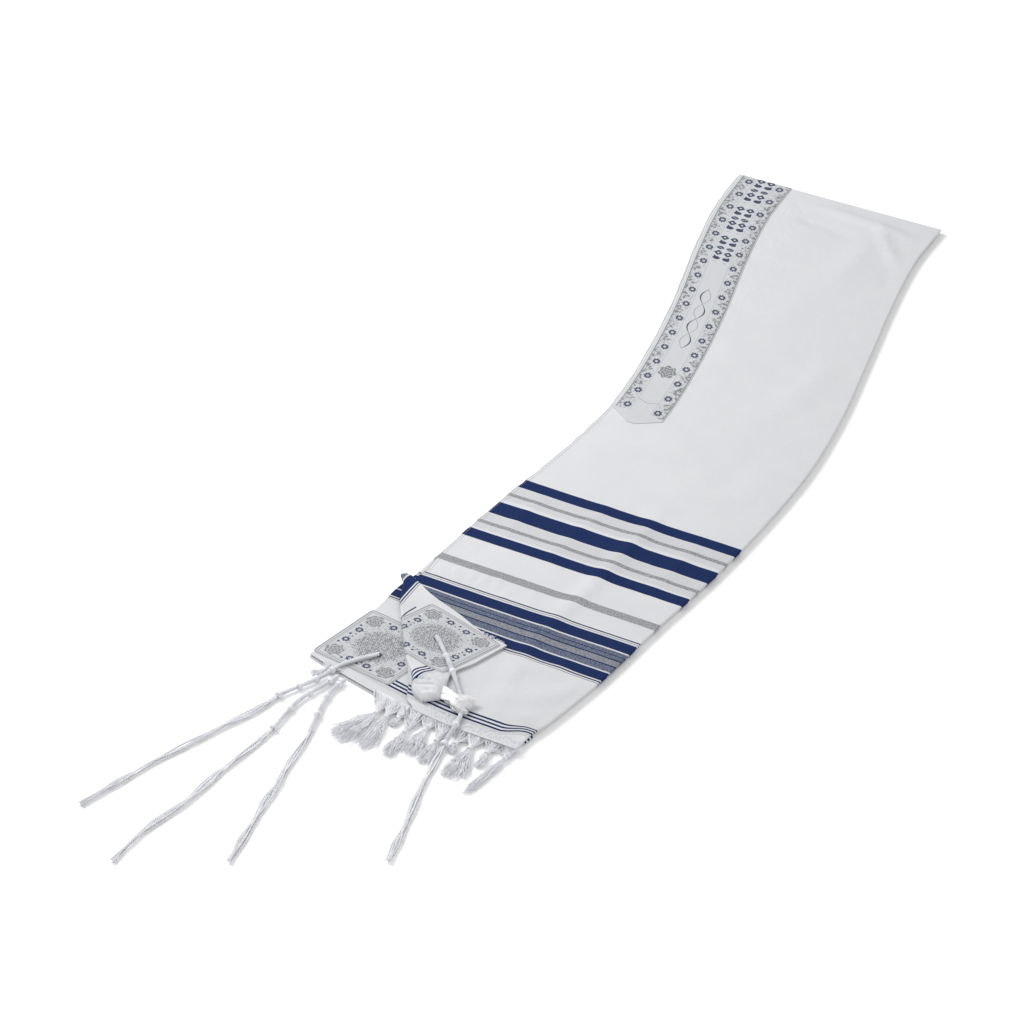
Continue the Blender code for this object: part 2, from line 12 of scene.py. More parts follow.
import bpy
import numpy as np
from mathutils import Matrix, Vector


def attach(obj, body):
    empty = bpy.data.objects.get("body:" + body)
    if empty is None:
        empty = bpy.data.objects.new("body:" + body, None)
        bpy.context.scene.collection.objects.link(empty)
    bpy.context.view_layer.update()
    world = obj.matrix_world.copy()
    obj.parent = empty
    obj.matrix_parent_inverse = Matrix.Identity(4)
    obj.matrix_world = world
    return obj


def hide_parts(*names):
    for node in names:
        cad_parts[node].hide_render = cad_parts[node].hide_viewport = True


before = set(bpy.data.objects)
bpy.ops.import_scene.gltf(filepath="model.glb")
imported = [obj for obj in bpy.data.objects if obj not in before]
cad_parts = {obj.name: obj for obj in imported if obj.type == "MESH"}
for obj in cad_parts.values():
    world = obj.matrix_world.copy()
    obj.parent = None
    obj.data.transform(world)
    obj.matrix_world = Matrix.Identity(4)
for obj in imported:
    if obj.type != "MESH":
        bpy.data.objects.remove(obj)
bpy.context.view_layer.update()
MM = 0.001

# %% [markdown]
# ## Camera
# The cloth is seen from its near left side, from well above, through a long lens: a long lens
# keeps the two long edges nearly parallel. The camera is placed by the way it looks, from the
# point of the surface that it looks at, because those numbers can be read and changed.

# %% Make the camera
AIM = Vector((-0.0825, -0.1262, 0.0))
AZIMUTH = radians(28)
ELEVATION = radians(38)
DISTANCE = 4.0433
LENS_MM = 147.656

camera_data = bpy.data.cameras.new("camera")
camera_data.lens = LENS_MM
camera_data.sensor_width = 36
camera = bpy.data.objects.new("camera", camera_data)
bpy.context.scene.collection.objects.link(camera)
back = Vector((sin(AZIMUTH) * cos(ELEVATION), -cos(AZIMUTH) * cos(ELEVATION), sin(ELEVATION)))
camera.location = AIM + back * DISTANCE
camera.rotation_mode = "QUATERNION"
camera.rotation_quaternion = (-back).to_track_quat("-Z", "Y")
bpy.context.scene.camera = camera
print("camera at", [round(value, 3) for value in camera.location])

# %% [markdown]
# ## Writing shaders as sums
# A stripe is a number that is 1 inside it and 0 outside, so a striped cloth is mostly arithmetic.
# Joining Math nodes by hand hides that. This small class wraps a node's output, so that an
# ordinary Python expression adds the Math nodes; one method adds any other node.

# %% A material and its sockets
class Wire:
    """One number or colour in a material's node tree."""

    def __init__(self, paint, socket):
        self.paint = paint
        self.socket = socket

    def math(self, operation, *others):
        return self.paint.node("ShaderNodeMath", {"operation": operation}, (self, *others))

    def __add__(self, other):
        return self.math("ADD", other)

    def __sub__(self, other):
        return self.math("SUBTRACT", other)

    def __mul__(self, other):
        return self.math("MULTIPLY", other)

    def __truediv__(self, other):
        return self.math("DIVIDE", other)

    def __rsub__(self, other):
        return self.paint.number(other).math("SUBTRACT", self)

    def __rtruediv__(self, other):
        return self.paint.number(other).math("DIVIDE", self)

    def __abs__(self):
        return self.math("ABSOLUTE")

    __radd__ = __add__
    __rmul__ = __mul__

    def sin(self):
        return self.math("SINE")

    def cos(self):
        return self.math("COSINE")

    def power(self, exponent):
        return self.math("POWER", exponent)

    def least(self, other):
        return self.math("MINIMUM", other)

    def most(self, other):
        return self.math("MAXIMUM", other)

    def held(self):
        """The number, kept from 0 to 1."""
        return self.paint.node("ShaderNodeClamp", {}, (self, 0.0, 1.0))

    def repeat(self, pitch):
        """How far each point is from the middle of its cell, on a row of cells a pitch long."""
        return ((self / pitch).math("FRACT") - 0.5) * pitch

    def cell(self, pitch):
        """The number of the cell."""
        return (self / pitch).math("FLOOR")

    def inside(self, half, soft):
        """1 where the number is within half of 0, and 0 past it, over a soft edge."""
        return ((half - abs(self)) / soft + 0.5).held()

    def band(self, low, high, soft=0.0003):
        """1 between low and high, with soft edges."""
        return (self - (low + high) / 2).inside((high - low) / 2, soft)


class Paint:
    """A material with one Principled shader, and the short calls that fill its node tree."""

    def __init__(self, name, **constants):
        self.material = bpy.data.materials.new(name)
        self.material.use_nodes = True
        self.tree = self.material.node_tree
        self.shader = self.tree.nodes["Principled BSDF"]
        for socket, value in constants.items():
            self.shader.inputs[socket.replace("_", " ")].default_value = value

    def node(self, kind, settings, sockets, output=0):
        """Adds a node. Settings are set first, then the sockets' values or links, in order or by name."""
        made = self.tree.nodes.new(kind)
        for name, value in settings.items():
            setattr(made, name, value)
        named = sockets.items() if isinstance(sockets, dict) else enumerate(sockets)
        for place, value in named:
            if isinstance(value, Wire):
                self.tree.links.new(value.socket, made.inputs[place])
            else:
                made.inputs[place].default_value = value
        return Wire(self, made.outputs[output])

    def number(self, value):
        return self.node("ShaderNodeMath", {"operation": "ADD"}, (value, 0.0))

    def mix(self, share, low, high):
        """A colour between two colours."""
        ends = [c if isinstance(c, Wire) else (*c, 1.0) for c in (low, high)]
        settings = {"data_type": "RGBA"}
        return self.node("ShaderNodeMix", settings, {0: share, 6: ends[0], 7: ends[1]}, output=2)

    def split(self, vector):
        parts = self.node("ShaderNodeSeparateXYZ", {}, (vector,)).socket.node
        return [Wire(self, output) for output in parts.outputs]

    def place_uv(self, name):
        """The two numbers of a piece's own UV map, in metres."""
        return self.split(self.node("ShaderNodeUVMap", {"uv_map": name}, ()))[:2]

    def object_place(self):
        return self.node("ShaderNodeTexCoord", {}, (), output="Object")

    def noise(self, vector, size, detail=2.0):
        """Soft noise from 0 to 1, with lumps of about a size."""
        inputs = {"Vector": vector, "Scale": 1 / size, "Detail": detail}
        return self.node("ShaderNodeTexNoise", {}, inputs)

    def finish(self, colour, roughness, height, depth, share):
        """Links the colour and roughness, and a height of a depth through a Bump node."""
        bump = self.node("ShaderNodeBump", {}, {"Height": height, "Distance": depth, "Strength": share})
        for wire, socket in ((colour, "Base Color"), (roughness, "Roughness"), (bump, "Normal")):
            self.tree.links.new(wire.socket, self.shader.inputs[socket])
        print(self.material.name, "has", len(self.tree.nodes), "nodes")
        return self.material


# %% [markdown]
# ## Yarn
# The tassels, the fringe and the sewing thread are twisted white yarn. Its strands are real
# meshes further down, so the finish only has to give what is finer than a strand: a fuzzy,
# slightly uneven white, with painted shade a little darker in the hollows between the fibres.

# %% Paint the yarn
YARN_WHITE = (0.88, 0.88, 0.89)
YARN_SHADE = (0.60, 0.61, 0.66)


def paint_yarn(name, light=YARN_WHITE, dark=YARN_SHADE):
    paint = Paint(name, Sheen_Weight=0.25, Sheen_Roughness=0.4, Specular_IOR_Level=0.3)
    place = paint.object_place()
    fibres = paint.noise(place, 0.6 * MM, 3.0)
    patches = paint.noise(place, 9 * MM)
    # Where the fibre noise is low the colour goes to the dark one: painted shade in the hollows.
    share = ((fibres - 0.32) * 2.2 + (patches - 0.5) * 0.8).held()
    roughness = 0.7 + fibres * 0.2
    return paint.finish(paint.mix(share, dark, light), roughness, fibres, depth=0.15 * MM, share=0.6)


yarn = paint_yarn("twisted_white_yarn")

# %% [markdown]
# ## A yarn maker
# Every strand follows a guide line. Geometry Nodes sweep a small circle along the guide lines, so
# one tree serves the tassels, the fringe, the frayed threads and the eyelets. Each guide point
# has a thickness of its own, so that a strand can taper at its end.

# %% Build the yarn tree
def tree_with_inputs(name, inputs):
    """A Geometry Nodes tree with a geometry input, the named inputs and a geometry output."""
    tree = bpy.data.node_groups.new(name, "GeometryNodeTree")
    tree.interface.new_socket("Guides", in_out="INPUT", socket_type="NodeSocketGeometry")
    sockets = {}
    for label, kind in inputs.items():
        sockets[label] = tree.interface.new_socket(label, in_out="INPUT", socket_type=kind)
    tree.interface.new_socket("Made", in_out="OUTPUT", socket_type="NodeSocketGeometry")
    return tree, {label: socket.identifier for label, socket in sockets.items()}


def add_node(tree, kind, settings=(), links=(), values=()):
    made = tree.nodes.new(kind)
    for name, value in dict(settings).items():
        setattr(made, name, value)
    for name, value in dict(values).items():
        made.inputs[name].default_value = value
    for name, output in dict(links).items():
        tree.links.new(output, made.inputs[name])
    return made


def close_tree(tree, geometry, entry):
    """Ends a tree: instances made real, shaded smooth, and the piece's own material."""
    real = add_node(tree, "GeometryNodeRealizeInstances", links={"Geometry": geometry})
    smooth = add_node(tree, "GeometryNodeSetShadeSmooth", links={"Geometry": real.outputs[0]})
    links = {"Geometry": smooth.outputs[0], "Material": entry.outputs["Material"]}
    dressed = add_node(tree, "GeometryNodeSetMaterial", links=links)
    add_node(tree, "NodeGroupOutput", links={"Made": dressed.outputs[0]})
    print(tree.name, "has", len(tree.nodes), "nodes")


yarn_tree, YARN_INPUTS = tree_with_inputs("yarn along guides", {
    "Yarn radius": "NodeSocketFloat", "Sides": "NodeSocketInt", "Material": "NodeSocketMaterial"})
entry = add_node(yarn_tree, "NodeGroupInput")
line = add_node(yarn_tree, "GeometryNodeMeshToCurve", links={"Mesh": entry.outputs["Guides"]})
ring_links = {"Radius": entry.outputs["Yarn radius"], "Resolution": entry.outputs["Sides"]}
ring = add_node(yarn_tree, "GeometryNodeCurvePrimitiveCircle", links=ring_links)
taper = add_node(yarn_tree, "GeometryNodeInputNamedAttribute", {"data_type": "FLOAT"},
                 values={"Name": "taper"})
sweep_links = {"Curve": line.outputs[0], "Profile Curve": ring.outputs[0],
               "Scale": taper.outputs[0]}
sweep = add_node(yarn_tree, "GeometryNodeCurveToMesh", links=sweep_links,
                 values={"Fill Caps": True})
close_tree(yarn_tree, sweep.outputs[0], entry)


def grown(guides, tree, values):
    """The plain mesh that a tree makes from a guide object. The guide object is removed."""
    modifier = guides.modifiers.new("maker", "NODES")
    modifier.node_group = tree
    for identifier, value in values.items():
        modifier[identifier] = value
    bpy.context.view_layer.update()
    shaped = guides.evaluated_get(bpy.context.evaluated_depsgraph_get())
    mesh = bpy.data.meshes.new_from_object(shaped)
    name = guides.name
    guides.modifiers.remove(modifier)
    bpy.data.objects.remove(guides)
    made = bpy.data.objects.new(name, mesh)
    bpy.context.scene.collection.objects.link(made)
    return made


def guide_lines(name, lines):
    """An object of bare edges: lines is a list of point lists."""
    edges = []
    first = 0
    for strand in lines:
        edges += [(first + k, first + k + 1) for k in range(len(strand) - 1)]
        first += len(strand)
    mesh = bpy.data.meshes.new(name)
    mesh.from_pydata(np.vstack(lines).tolist(), edges, [])
    guides = bpy.data.objects.new(name, mesh)
    bpy.context.scene.collection.objects.link(guides)
    return guides


def yarns(name, lines, radius, sides=5, finish=None, taper_end=1.0):
    """One mesh of strands, swept along the lines with a round yarn that tapers to an end share."""
    guides = guide_lines(name, lines)
    tapers = [1 + (taper_end - 1) * np.linspace(0, 1, len(strand)) ** 3 for strand in lines]
    taper_values = guides.data.attributes.new("taper", "FLOAT", "POINT")
    taper_values.data.foreach_set("value", np.concatenate(tapers))
    values = {YARN_INPUTS["Yarn radius"]: radius, YARN_INPUTS["Sides"]: sides,
              YARN_INPUTS["Material"]: finish or yarn}
    made = grown(guides, yarn_tree, values)
    print(f"{name}: {len(lines)} strands, {len(made.data.polygons)} faces")
    return made


def smooth_line(points, spacing):
    """Points a spacing apart on a Catmull-Rom curve through the given points."""
    ways = np.array(points, float)
    ways = np.vstack([2 * ways[0] - ways[1], ways, 2 * ways[-1] - ways[-2]])
    t = np.linspace(0, 1, 24, endpoint=False)[:, None]
    a, b, c, d = ways[:-3, None], ways[1:-2, None], ways[2:-1, None], ways[3:, None]
    bends = (2 * b + (c - a) * t + (2 * a - 5 * b + 4 * c - d) * t**2
             + (3 * b - a - 3 * c + d) * t**3)
    fine = np.vstack([0.5 * bends.reshape(-1, ways.shape[1]), ways[-2]])
    run = np.concatenate([[0], np.cumsum(np.linalg.norm(np.diff(fine, axis=0), axis=1))])
    marks = np.linspace(0, run[-1], max(2, round(run[-1] / spacing)) + 1)
    return np.column_stack([np.interp(marks, run, column) for column in fine.T])


# %% [markdown]
# ## The corner tassels
# Each tzitzit is four long strings pulled through the eyelet and doubled, so eight strands hang
# down. One string is wound round the others between double knots for the first part; past that
# the strands lie loose, parting into two groups and crossing again. The tassels lie limp on the
# surface, so a route along it is enough, and each strand keeps its own offset from that route.

# %% Where the tassels lie
TASSEL_DIAMETER = 6 * MM
# Where no height is given, the tassel lies on the surface.
Way = namedtuple("Way", "x y z", defaults=(TASSEL_DIAMETER / 2 + 0.05 * MM,))
TASSEL_ROUTES = (
    (
        Way(-0.0880, -0.3770, 0.0056),
        Way(-0.0960, -0.3870, 0.0058),
        Way(-0.1035, -0.3960, 0.0058),
        Way(-0.1100, -0.4050, 0.0056),
        Way(-0.1140, -0.4140, 0.0052),
        Way(-0.1180, -0.4240, 0.0042),
        Way(-0.1240, -0.4355, 0.0032),
        Way(-0.1315, -0.4490),
        Way(-0.1385, -0.4615),
        Way(-0.1430, -0.4730),
        Way(-0.1465, -0.4860),
        Way(-0.1520, -0.5010),
        Way(-0.1608, -0.5190),
        Way(-0.1690, -0.5390),
        Way(-0.1776, -0.5582),
        Way(-0.1860, -0.5780),
        Way(-0.1937, -0.5975),
        Way(-0.2004, -0.6163),
        Way(-0.2068, -0.6348),
        Way(-0.2130, -0.6532),
        Way(-0.2212, -0.6770),
    ),
    (
        Way(-0.1070, -0.4195, 0.0032),
        Way(-0.1105, -0.4310),
        Way(-0.1150, -0.4440),
        Way(-0.1195, -0.4570),
        Way(-0.1218, -0.4690),
        Way(-0.1222, -0.4860),
        Way(-0.1223, -0.5040),
        Way(-0.1232, -0.5190),
        Way(-0.1256, -0.5330),
        Way(-0.1287, -0.5490),
        Way(-0.1318, -0.5650),
        Way(-0.1345, -0.5815),
        Way(-0.1367, -0.5975),
        Way(-0.1385, -0.6136),
        Way(-0.1408, -0.6300),
        Way(-0.1450, -0.6475),
        Way(-0.1496, -0.6640),
        Way(-0.1530, -0.6810),
        Way(-0.1552, -0.6967),
        Way(-0.1564, -0.7117),
        Way(-0.1570, -0.7260),
    ),
    (
        Way(-0.0985, -0.4215, 0.0032),
        Way(-0.1010, -0.4335),
        Way(-0.1015, -0.4460),
        Way(-0.0998, -0.4590),
        Way(-0.0970, -0.4715),
        Way(-0.0943, -0.4835),
        Way(-0.0915, -0.4955),
        Way(-0.0894, -0.5070),
        Way(-0.0883, -0.5175),
        Way(-0.0876, -0.5290),
        Way(-0.0862, -0.5410),
        Way(-0.0838, -0.5550),
        Way(-0.0813, -0.5685),
        Way(-0.0797, -0.5830),
        Way(-0.0783, -0.5970),
        Way(-0.0765, -0.6106),
        Way(-0.0747, -0.6243),
        Way(-0.0732, -0.6384),
        Way(-0.0715, -0.6524),
        Way(-0.0692, -0.6660),
        Way(-0.0671, -0.6790),
    ),
    (
        Way(-0.0490, -0.3370, 0.0118),
        Way(-0.0400, -0.3455, 0.0124),
        Way(-0.0275, -0.3580, 0.0124),
        Way(-0.0145, -0.3715, 0.0122),
        Way(-0.0020, -0.3855, 0.0112),
        Way(0.0085, -0.3980, 0.0102),
        Way(0.0165, -0.4100, 0.0098),
        Way(0.0220, -0.4220, 0.0096),
        Way(0.0240, -0.4340, 0.0090),
        Way(0.0245, -0.4460, 0.0070),
        Way(0.0250, -0.4580, 0.0044),
        Way(0.0260, -0.4700, 0.0032),
        Way(0.0280, -0.4840),
        Way(0.0308, -0.4985),
        Way(0.0338, -0.5150),
        Way(0.0375, -0.5340),
        Way(0.0415, -0.5490),
        Way(0.0450, -0.5615),
        Way(0.0475, -0.5742),
        Way(0.0500, -0.5875),
        Way(0.0524, -0.6008),
        Way(0.0550, -0.6140),
    ),
)
# How long the wound part is, where its knots sit, and where the loose strands meet again.
Tassel = namedtuple("Tassel", "wound knots meets seed")
TASSELS = (
    Tassel(0.108, (0.048, 0.066, 0.084, 0.106), (0.175, 0.262, 0.305), 11),
    Tassel(0.094, (0.010, 0.034, 0.062, 0.092), (0.150, 0.215, 0.285), 12),
    Tassel(0.078, (0.008, 0.028, 0.054), (0.150, 0.205, 0.258), 13),
    Tassel(0.150, (0.030, 0.052, 0.102, 0.124, 0.148), (0.200, 0.262, 0.305), 14),
)
CORE_RADIUS = 1.35 * MM
WIND_RADIUS = 0.62 * MM
WIND_PITCH = 1.8 * MM
PLY_RADIUS = 0.46 * MM
PLY_TWIST = 5.5 * MM
LOOSE_HALF_WIDTH = 4.6 * MM
ROUTE_STEP = 0.12 * MM
KNOT_YARN = 0.85 * MM
KNOT_REACH = 2.0 * MM
KNOT_PITCH = 1.9 * MM
KNOT_BULGE = 2.75 * MM
LAST_KNOT_BULGE = 3.3 * MM


def smooth_step(value):
    """A share that leaves 0 and reaches 1 without a corner."""
    held = np.clip(value, 0.0, 1.0)
    return held * held * (3 - 2 * held)


def sides_along(points):
    """The sideways and the upward direction at each point of a route."""
    run = np.gradient(points, axis=0)
    run /= np.linalg.norm(run, axis=1)[:, None]
    side = np.cross(run, (0, 0, 1.0))
    side /= np.linalg.norm(side, axis=1)[:, None]
    return side, np.cross(side, run)


def helix(points, side, up, radius, turns, phase=0.0):
    """A line that winds round a route, with its number of turns up to each point."""
    angle = 2 * pi * turns + phase
    return points + side * (radius * np.cos(angle))[:, None] + up * (radius * np.sin(angle))[:, None]


def knot_lines(low, side, up, run, plan):
    """Two crossing lines that swell round the tassel at each knot."""
    knots = []
    for place in plan.knots:
        near = np.abs(run - place) < KNOT_REACH
        reach = run[near] - place
        size = LAST_KNOT_BULGE if place == plan.knots[-1] else KNOT_BULGE
        bulge = size * np.sqrt(np.maximum(0.35, 1 - (reach / (1.3 * KNOT_REACH)) ** 2))
        for turn in range(2):
            phase = pi * turn + place * 90
            line = helix(low[near], side[near], up[near], bulge, reach / KNOT_PITCH, phase)
            line[:, 2] = np.maximum(line[:, 2], KNOT_YARN + 0.05 * MM)
            knots.append(line[::2])
    return knots


def loose_lines(low, side, up, run, plan):
    """The eight loose strands, two plies each, in two groups that part and meet again."""
    random = np.random.default_rng(plan.seed)
    start = plan.wound - 3 * MM
    marks = np.flatnonzero(run > start)[::5]
    far = run[marks] - start
    meets = np.array([start, *plan.meets, run[-1] + 0.03]) - start
    turns = np.sort(np.concatenate([meets, (meets[1:] + meets[:-1]) / 2]))
    parted = smooth_step(np.interp(far, turns, [0, 1] * (len(meets) - 1) + [0]))
    flip = np.where((np.searchsorted(meets, far) % 2) == 1, 1, -1)
    loose = []
    for strand in range(8):
        group = -1 if strand < 4 else 1
        place = (strand % 4 - 1.5) / 1.5
        slow = np.sin(far / 0.028 + random.uniform(0, 6.3)) + np.sin(far / 0.013 + random.uniform(0, 6.3))
        across = group * flip * parted * 1.7 + place * (1.5 - 0.1 * parted) + 0.5 * slow
        across = np.clip(across * MM, -LOOSE_HALF_WIDTH, LOOSE_HALF_WIDTH)
        height = -1.45 * MM + 0.75 * MM * ((strand * 3) % 4) * (1 - 0.55 * parted)
        height = height + 0.2 * MM * np.sin(far / 0.009 + strand)
        middle = low[marks] + side[marks] * across[:, None] + up[marks] * height[:, None]
        # No strand goes below the surface.
        middle[:, 2] = np.maximum(middle[:, 2], PLY_RADIUS * 1.85)
        for ply in range(2):
            turns_here = far / PLY_TWIST + strand * 0.3
            loose.append(helix(middle, side[marks], up[marks], PLY_RADIUS * 0.85, turns_here, pi * ply))
    return loose


def tassel_lines(ways, plan):
    """Guide lines of one tassel: its core, its winding, its knots and its loose strands."""
    route = smooth_line(ways, ROUTE_STEP)
    run = np.arange(len(route)) * ROUTE_STEP
    side, up = sides_along(route)
    low = route - up * 0.35 * MM
    wound = run <= plan.wound
    drift = 1 + 0.08 * np.sin(run / 0.007 + plan.seed)
    winding = helix(low[wound], side[wound], up[wound], (CORE_RADIUS + 0.35 * MM) * drift[wound],
                    run[wound] / WIND_PITCH)
    core = low[wound][::12]
    return core, winding, knot_lines(low, side, up, run, plan), loose_lines(low, side, up, run, plan)


def join(name, parts):
    """One mesh object from several, whose own objects are removed."""
    for part in bpy.context.selected_objects:
        part.select_set(False)
    for part in parts:
        part.select_set(True)
    bpy.context.view_layer.objects.active = parts[0]
    bpy.ops.object.join()
    parts[0].name = name
    parts[0].data.name = name
    return parts[0]


def corner_tassel(number, ways, plan):
    core, winding, knots, loose = tassel_lines(ways, plan)
    name = f"tzitzit_{number}"
    parts = [
        yarns(name + "_core", [core], CORE_RADIUS, sides=8),
        yarns(name + "_winding", [winding], WIND_RADIUS),
        yarns(name + "_knots", knots, KNOT_YARN, sides=6),
        yarns(name + "_strands", loose, PLY_RADIUS, taper_end=0.75),
    ]
    tassel = join(name, parts)
    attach(tassel, "root")
    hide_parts(f"corner_tassel_{number}")


for number, (ways, plan) in enumerate(zip(TASSEL_ROUTES, TASSELS), 1):
    corner_tassel(number, ways, plan)

# %% [markdown]
# ## How the folded strip lies
# Folded in four, the cloth is a strip that bows a little to the right. Its middle line and its
# width are read from a short table on a smooth curve, the same one that shapes the solids, so
# the detailed cloth stays in their space.

# %% The strip's middle, width and ends
Section = namedtuple("Section", "along centre width")
STRIP = (
    Section(-0.424, -0.0322, 0.2405),
    Section(-0.324, -0.0080, 0.2340),
    Section(-0.224, 0.0050, 0.2340),
    Section(-0.124, 0.0185, 0.2360),
    Section(-0.024, 0.0310, 0.2280),
    Section(0.066, 0.0355, 0.2220),
    Section(0.156, 0.0275, 0.2210),
    Section(0.256, 0.0105, 0.2210),
    Section(0.356, -0.0100, 0.2265),
    Section(0.436, -0.0225, 0.2310),
    Section(0.506, -0.0245, 0.2350),
)
NEAR_END = -0.4355
NEAR_SWEEP = 0.030
NEAR_SWEEP_FROM = 0.032
NEAR_SWEEP_SPAN = 0.171
FAR_TILT = 0.02


def read_strip(y, column):
    """A column of STRIP at y, on a cubic curve, and straight past its ends."""
    along = np.array([row.along for row in STRIP])
    values = np.array([getattr(row, column) for row in STRIP])
    slopes = np.empty(len(STRIP))
    slopes[1:-1] = (values[2:] - values[:-2]) / (along[2:] - along[:-2])
    slopes[0] = (values[1] - values[0]) / (along[1] - along[0])
    slopes[-1] = (values[-1] - values[-2]) / (along[-1] - along[-2])
    inside = np.clip(y, along[0], along[-1])
    low = np.clip(np.searchsorted(along, inside) - 1, 0, len(STRIP) - 2)
    span = along[low + 1] - along[low]
    t = (inside - along[low]) / span
    curve = (values[low] * (2 * t**3 - 3 * t**2 + 1) + slopes[low] * span * (t**3 - 2 * t**2 + t)
             + values[low + 1] * (3 * t**2 - 2 * t**3) + slopes[low + 1] * span * (t**3 - t**2))
    past = np.where(y < along[0], slopes[0], slopes[-1])
    return curve + past * (y - inside)


def strip_left(y):
    return read_strip(y, "centre") - read_strip(y, "width") / 2


def strip_right(y):
    return read_strip(y, "centre") + read_strip(y, "width") / 2


def near_sweep(x):
    """How far the fringed end runs back from its rightmost part."""
    return NEAR_SWEEP * np.maximum(0.0, (NEAR_SWEEP_FROM - x) / NEAR_SWEEP_SPAN) ** 1.6


print("strip width at its middle:", round(float(read_strip(np.array(0.04), "width")) / MM, 1), "mm")

# %% [markdown]
# ## From the flat cloth to where it lies
# Cloth can't stretch much, so the honest way to fold it is a rule that takes a point of the flat
# cut, u across and v along, to its place in the fold. The long fold is a small half circle
# across, the cross fold a half circle along, and both are one formula. The same two numbers
# are kept as the UV map, so stripes woven along v turn over every fold by themselves.

# %% Fold the cloth
CLOTH_WIDTH = 0.457
HALF_WIDTH = CLOTH_WIDTH / 2
CLOTH_WALL = 0.8 * MM
Pair = namedtuple("Pair", "middle radius")
UPPER = Pair(4.98 * MM, 0.78 * MM)
LOWER = Pair(1.62 * MM, 1.08 * MM)
CROSS_FOLD_HEIGHT = 3.36 * MM
CROSS_ARC = pi * 2.6 * MM
CROSS_FOLD_AT = 0.9369
CLOTH_LENGTH = 2 * CROSS_FOLD_AT + CROSS_ARC
UPPER_INSET = 2.0 * MM
CORNER_INSET = 4.2 * MM
CORNER_INSET_AT = -0.250
CORNER_INSET_SPAN = 0.028
LOWER_INSET = 0.3 * MM
LOWER_SHORT = 1.6 * MM
SWEEP_FADES = 0.19
CURL = 0.010
FAR_TILT_FROM = 0.50
FAR_TILT_SPAN = 0.43

Crease = namedtuple("Crease", "x y to_x to_y height half_width bend")
# Soft ridges (positive) and troughs (negative) of the upper face, each from one end to the other.
CREASES = (
    Crease(0.0440, -0.4050, 0.0300, -0.2700, 1.5, 11, 3),
    Crease(0.0290, -0.2900, 0.0480, -0.0500, 2.3, 10, -4),
    Crease(-0.0150, -0.1900, 0.0020, -0.0700, 0.9, 8, 2),
    Crease(-0.0700, -0.1750, -0.0600, -0.0900, 0.7, 7, 2),
    Crease(0.0900, -0.1900, 0.1000, -0.0800, 0.8, 9, -3),
    Crease(0.1050, -0.3330, 0.0250, -0.3900, 2.2, 12, 5),
    Crease(0.0900, -0.3850, 0.0300, -0.4020, 1.2, 8, 2),
    Crease(0.0300, -0.3350, 0.0850, -0.3050, 1.1, 10, -3),
    Crease(-0.0860, -0.2330, -0.0760, -0.2480, 0.9, 3.2, 0),
    Crease(-0.0700, -0.2260, -0.0640, -0.2460, 0.8, 2.8, 1),
    Crease(-0.0560, -0.2300, -0.0530, -0.2440, 0.7, 2.6, 0),
    Crease(-0.0430, -0.2240, -0.0360, -0.2430, 0.8, 3.4, 1),
    Crease(-0.0990, -0.2350, -0.0900, -0.2520, 0.9, 3.6, 0),
    Crease(-0.0280, -0.2350, -0.0200, -0.2550, 0.6, 3.2, -1),
    Crease(-0.0060, -0.2300, 0.0040, -0.2520, 0.5, 3.4, 1),
    Crease(-0.0750, -0.0200, 0.0500, 0.0450, 1.1, 18, 12),
    Crease(0.0200, -0.0400, 0.1300, 0.0150, 0.9, 14, -8),
    Crease(-0.0350, 0.1000, 0.0200, 0.2200, 1.0, 20, 8),
    Crease(0.0700, 0.0900, 0.0900, 0.2500, 1.2, 16, -6),
    Crease(-0.0150, 0.2400, 0.0350, 0.4000, 0.8, 18, -8),
    Crease(0.0450, 0.3300, 0.0400, 0.4700, 1.3, 15, 5),
    Crease(-0.0500, 0.4820, 0.0850, 0.4700, 2.8, 7, 3),
    Crease(-0.0550, 0.4600, 0.0200, 0.4480, -1.4, 8, -2),
    Crease(0.0800, 0.4200, 0.0300, 0.4850, 1.9, 7, 2),
    Crease(0.0900, 0.3700, 0.0600, 0.4300, -0.5, 9, -2),
    Crease(0.0800, -0.0300, 0.1000, 0.0800, -0.5, 12, 3),
    Crease(-0.0500, -0.1400, 0.0100, -0.1450, -0.4, 9, 2),
)


def along_and_off(x, y, start, end):
    """How far along a line each point is, from 0 to 1, and how far off it, in metres."""
    run = np.subtract(end, start)
    length = np.hypot(*run)
    along = ((x - start[0]) * run[0] + (y - start[1]) * run[1]) / length**2
    off = ((x - start[0]) * -run[1] + (y - start[1]) * run[0]) / length
    return along, off


def crease_relief(x, y):
    """The height that the creases and a slow unevenness add, in metres."""
    height = np.zeros(np.broadcast(x, y).shape)
    for row in CREASES:
        t, off = along_and_off(x, y, (row.x, row.y), (row.to_x, row.to_y))
        off = off - row.bend * MM * 4 * t * (1 - t)
        taper = smooth_step(t / 0.35 + 0.15) * smooth_step((1 - t) / 0.35 + 0.15)
        height += row.height * MM * taper * np.exp(-((off / (row.half_width * MM)) ** 2))
    slow = np.sin(x * 61 + 3 * np.sin(y * 9)) * np.sin(y * 33 + 1.3) + 0.6 * np.sin(x * 23 - y * 47)
    return height + 0.16 * MM * slow + 0.05 * MM * np.sin(x * 190 + y * 37) * np.sin(y * 143 - x * 51)


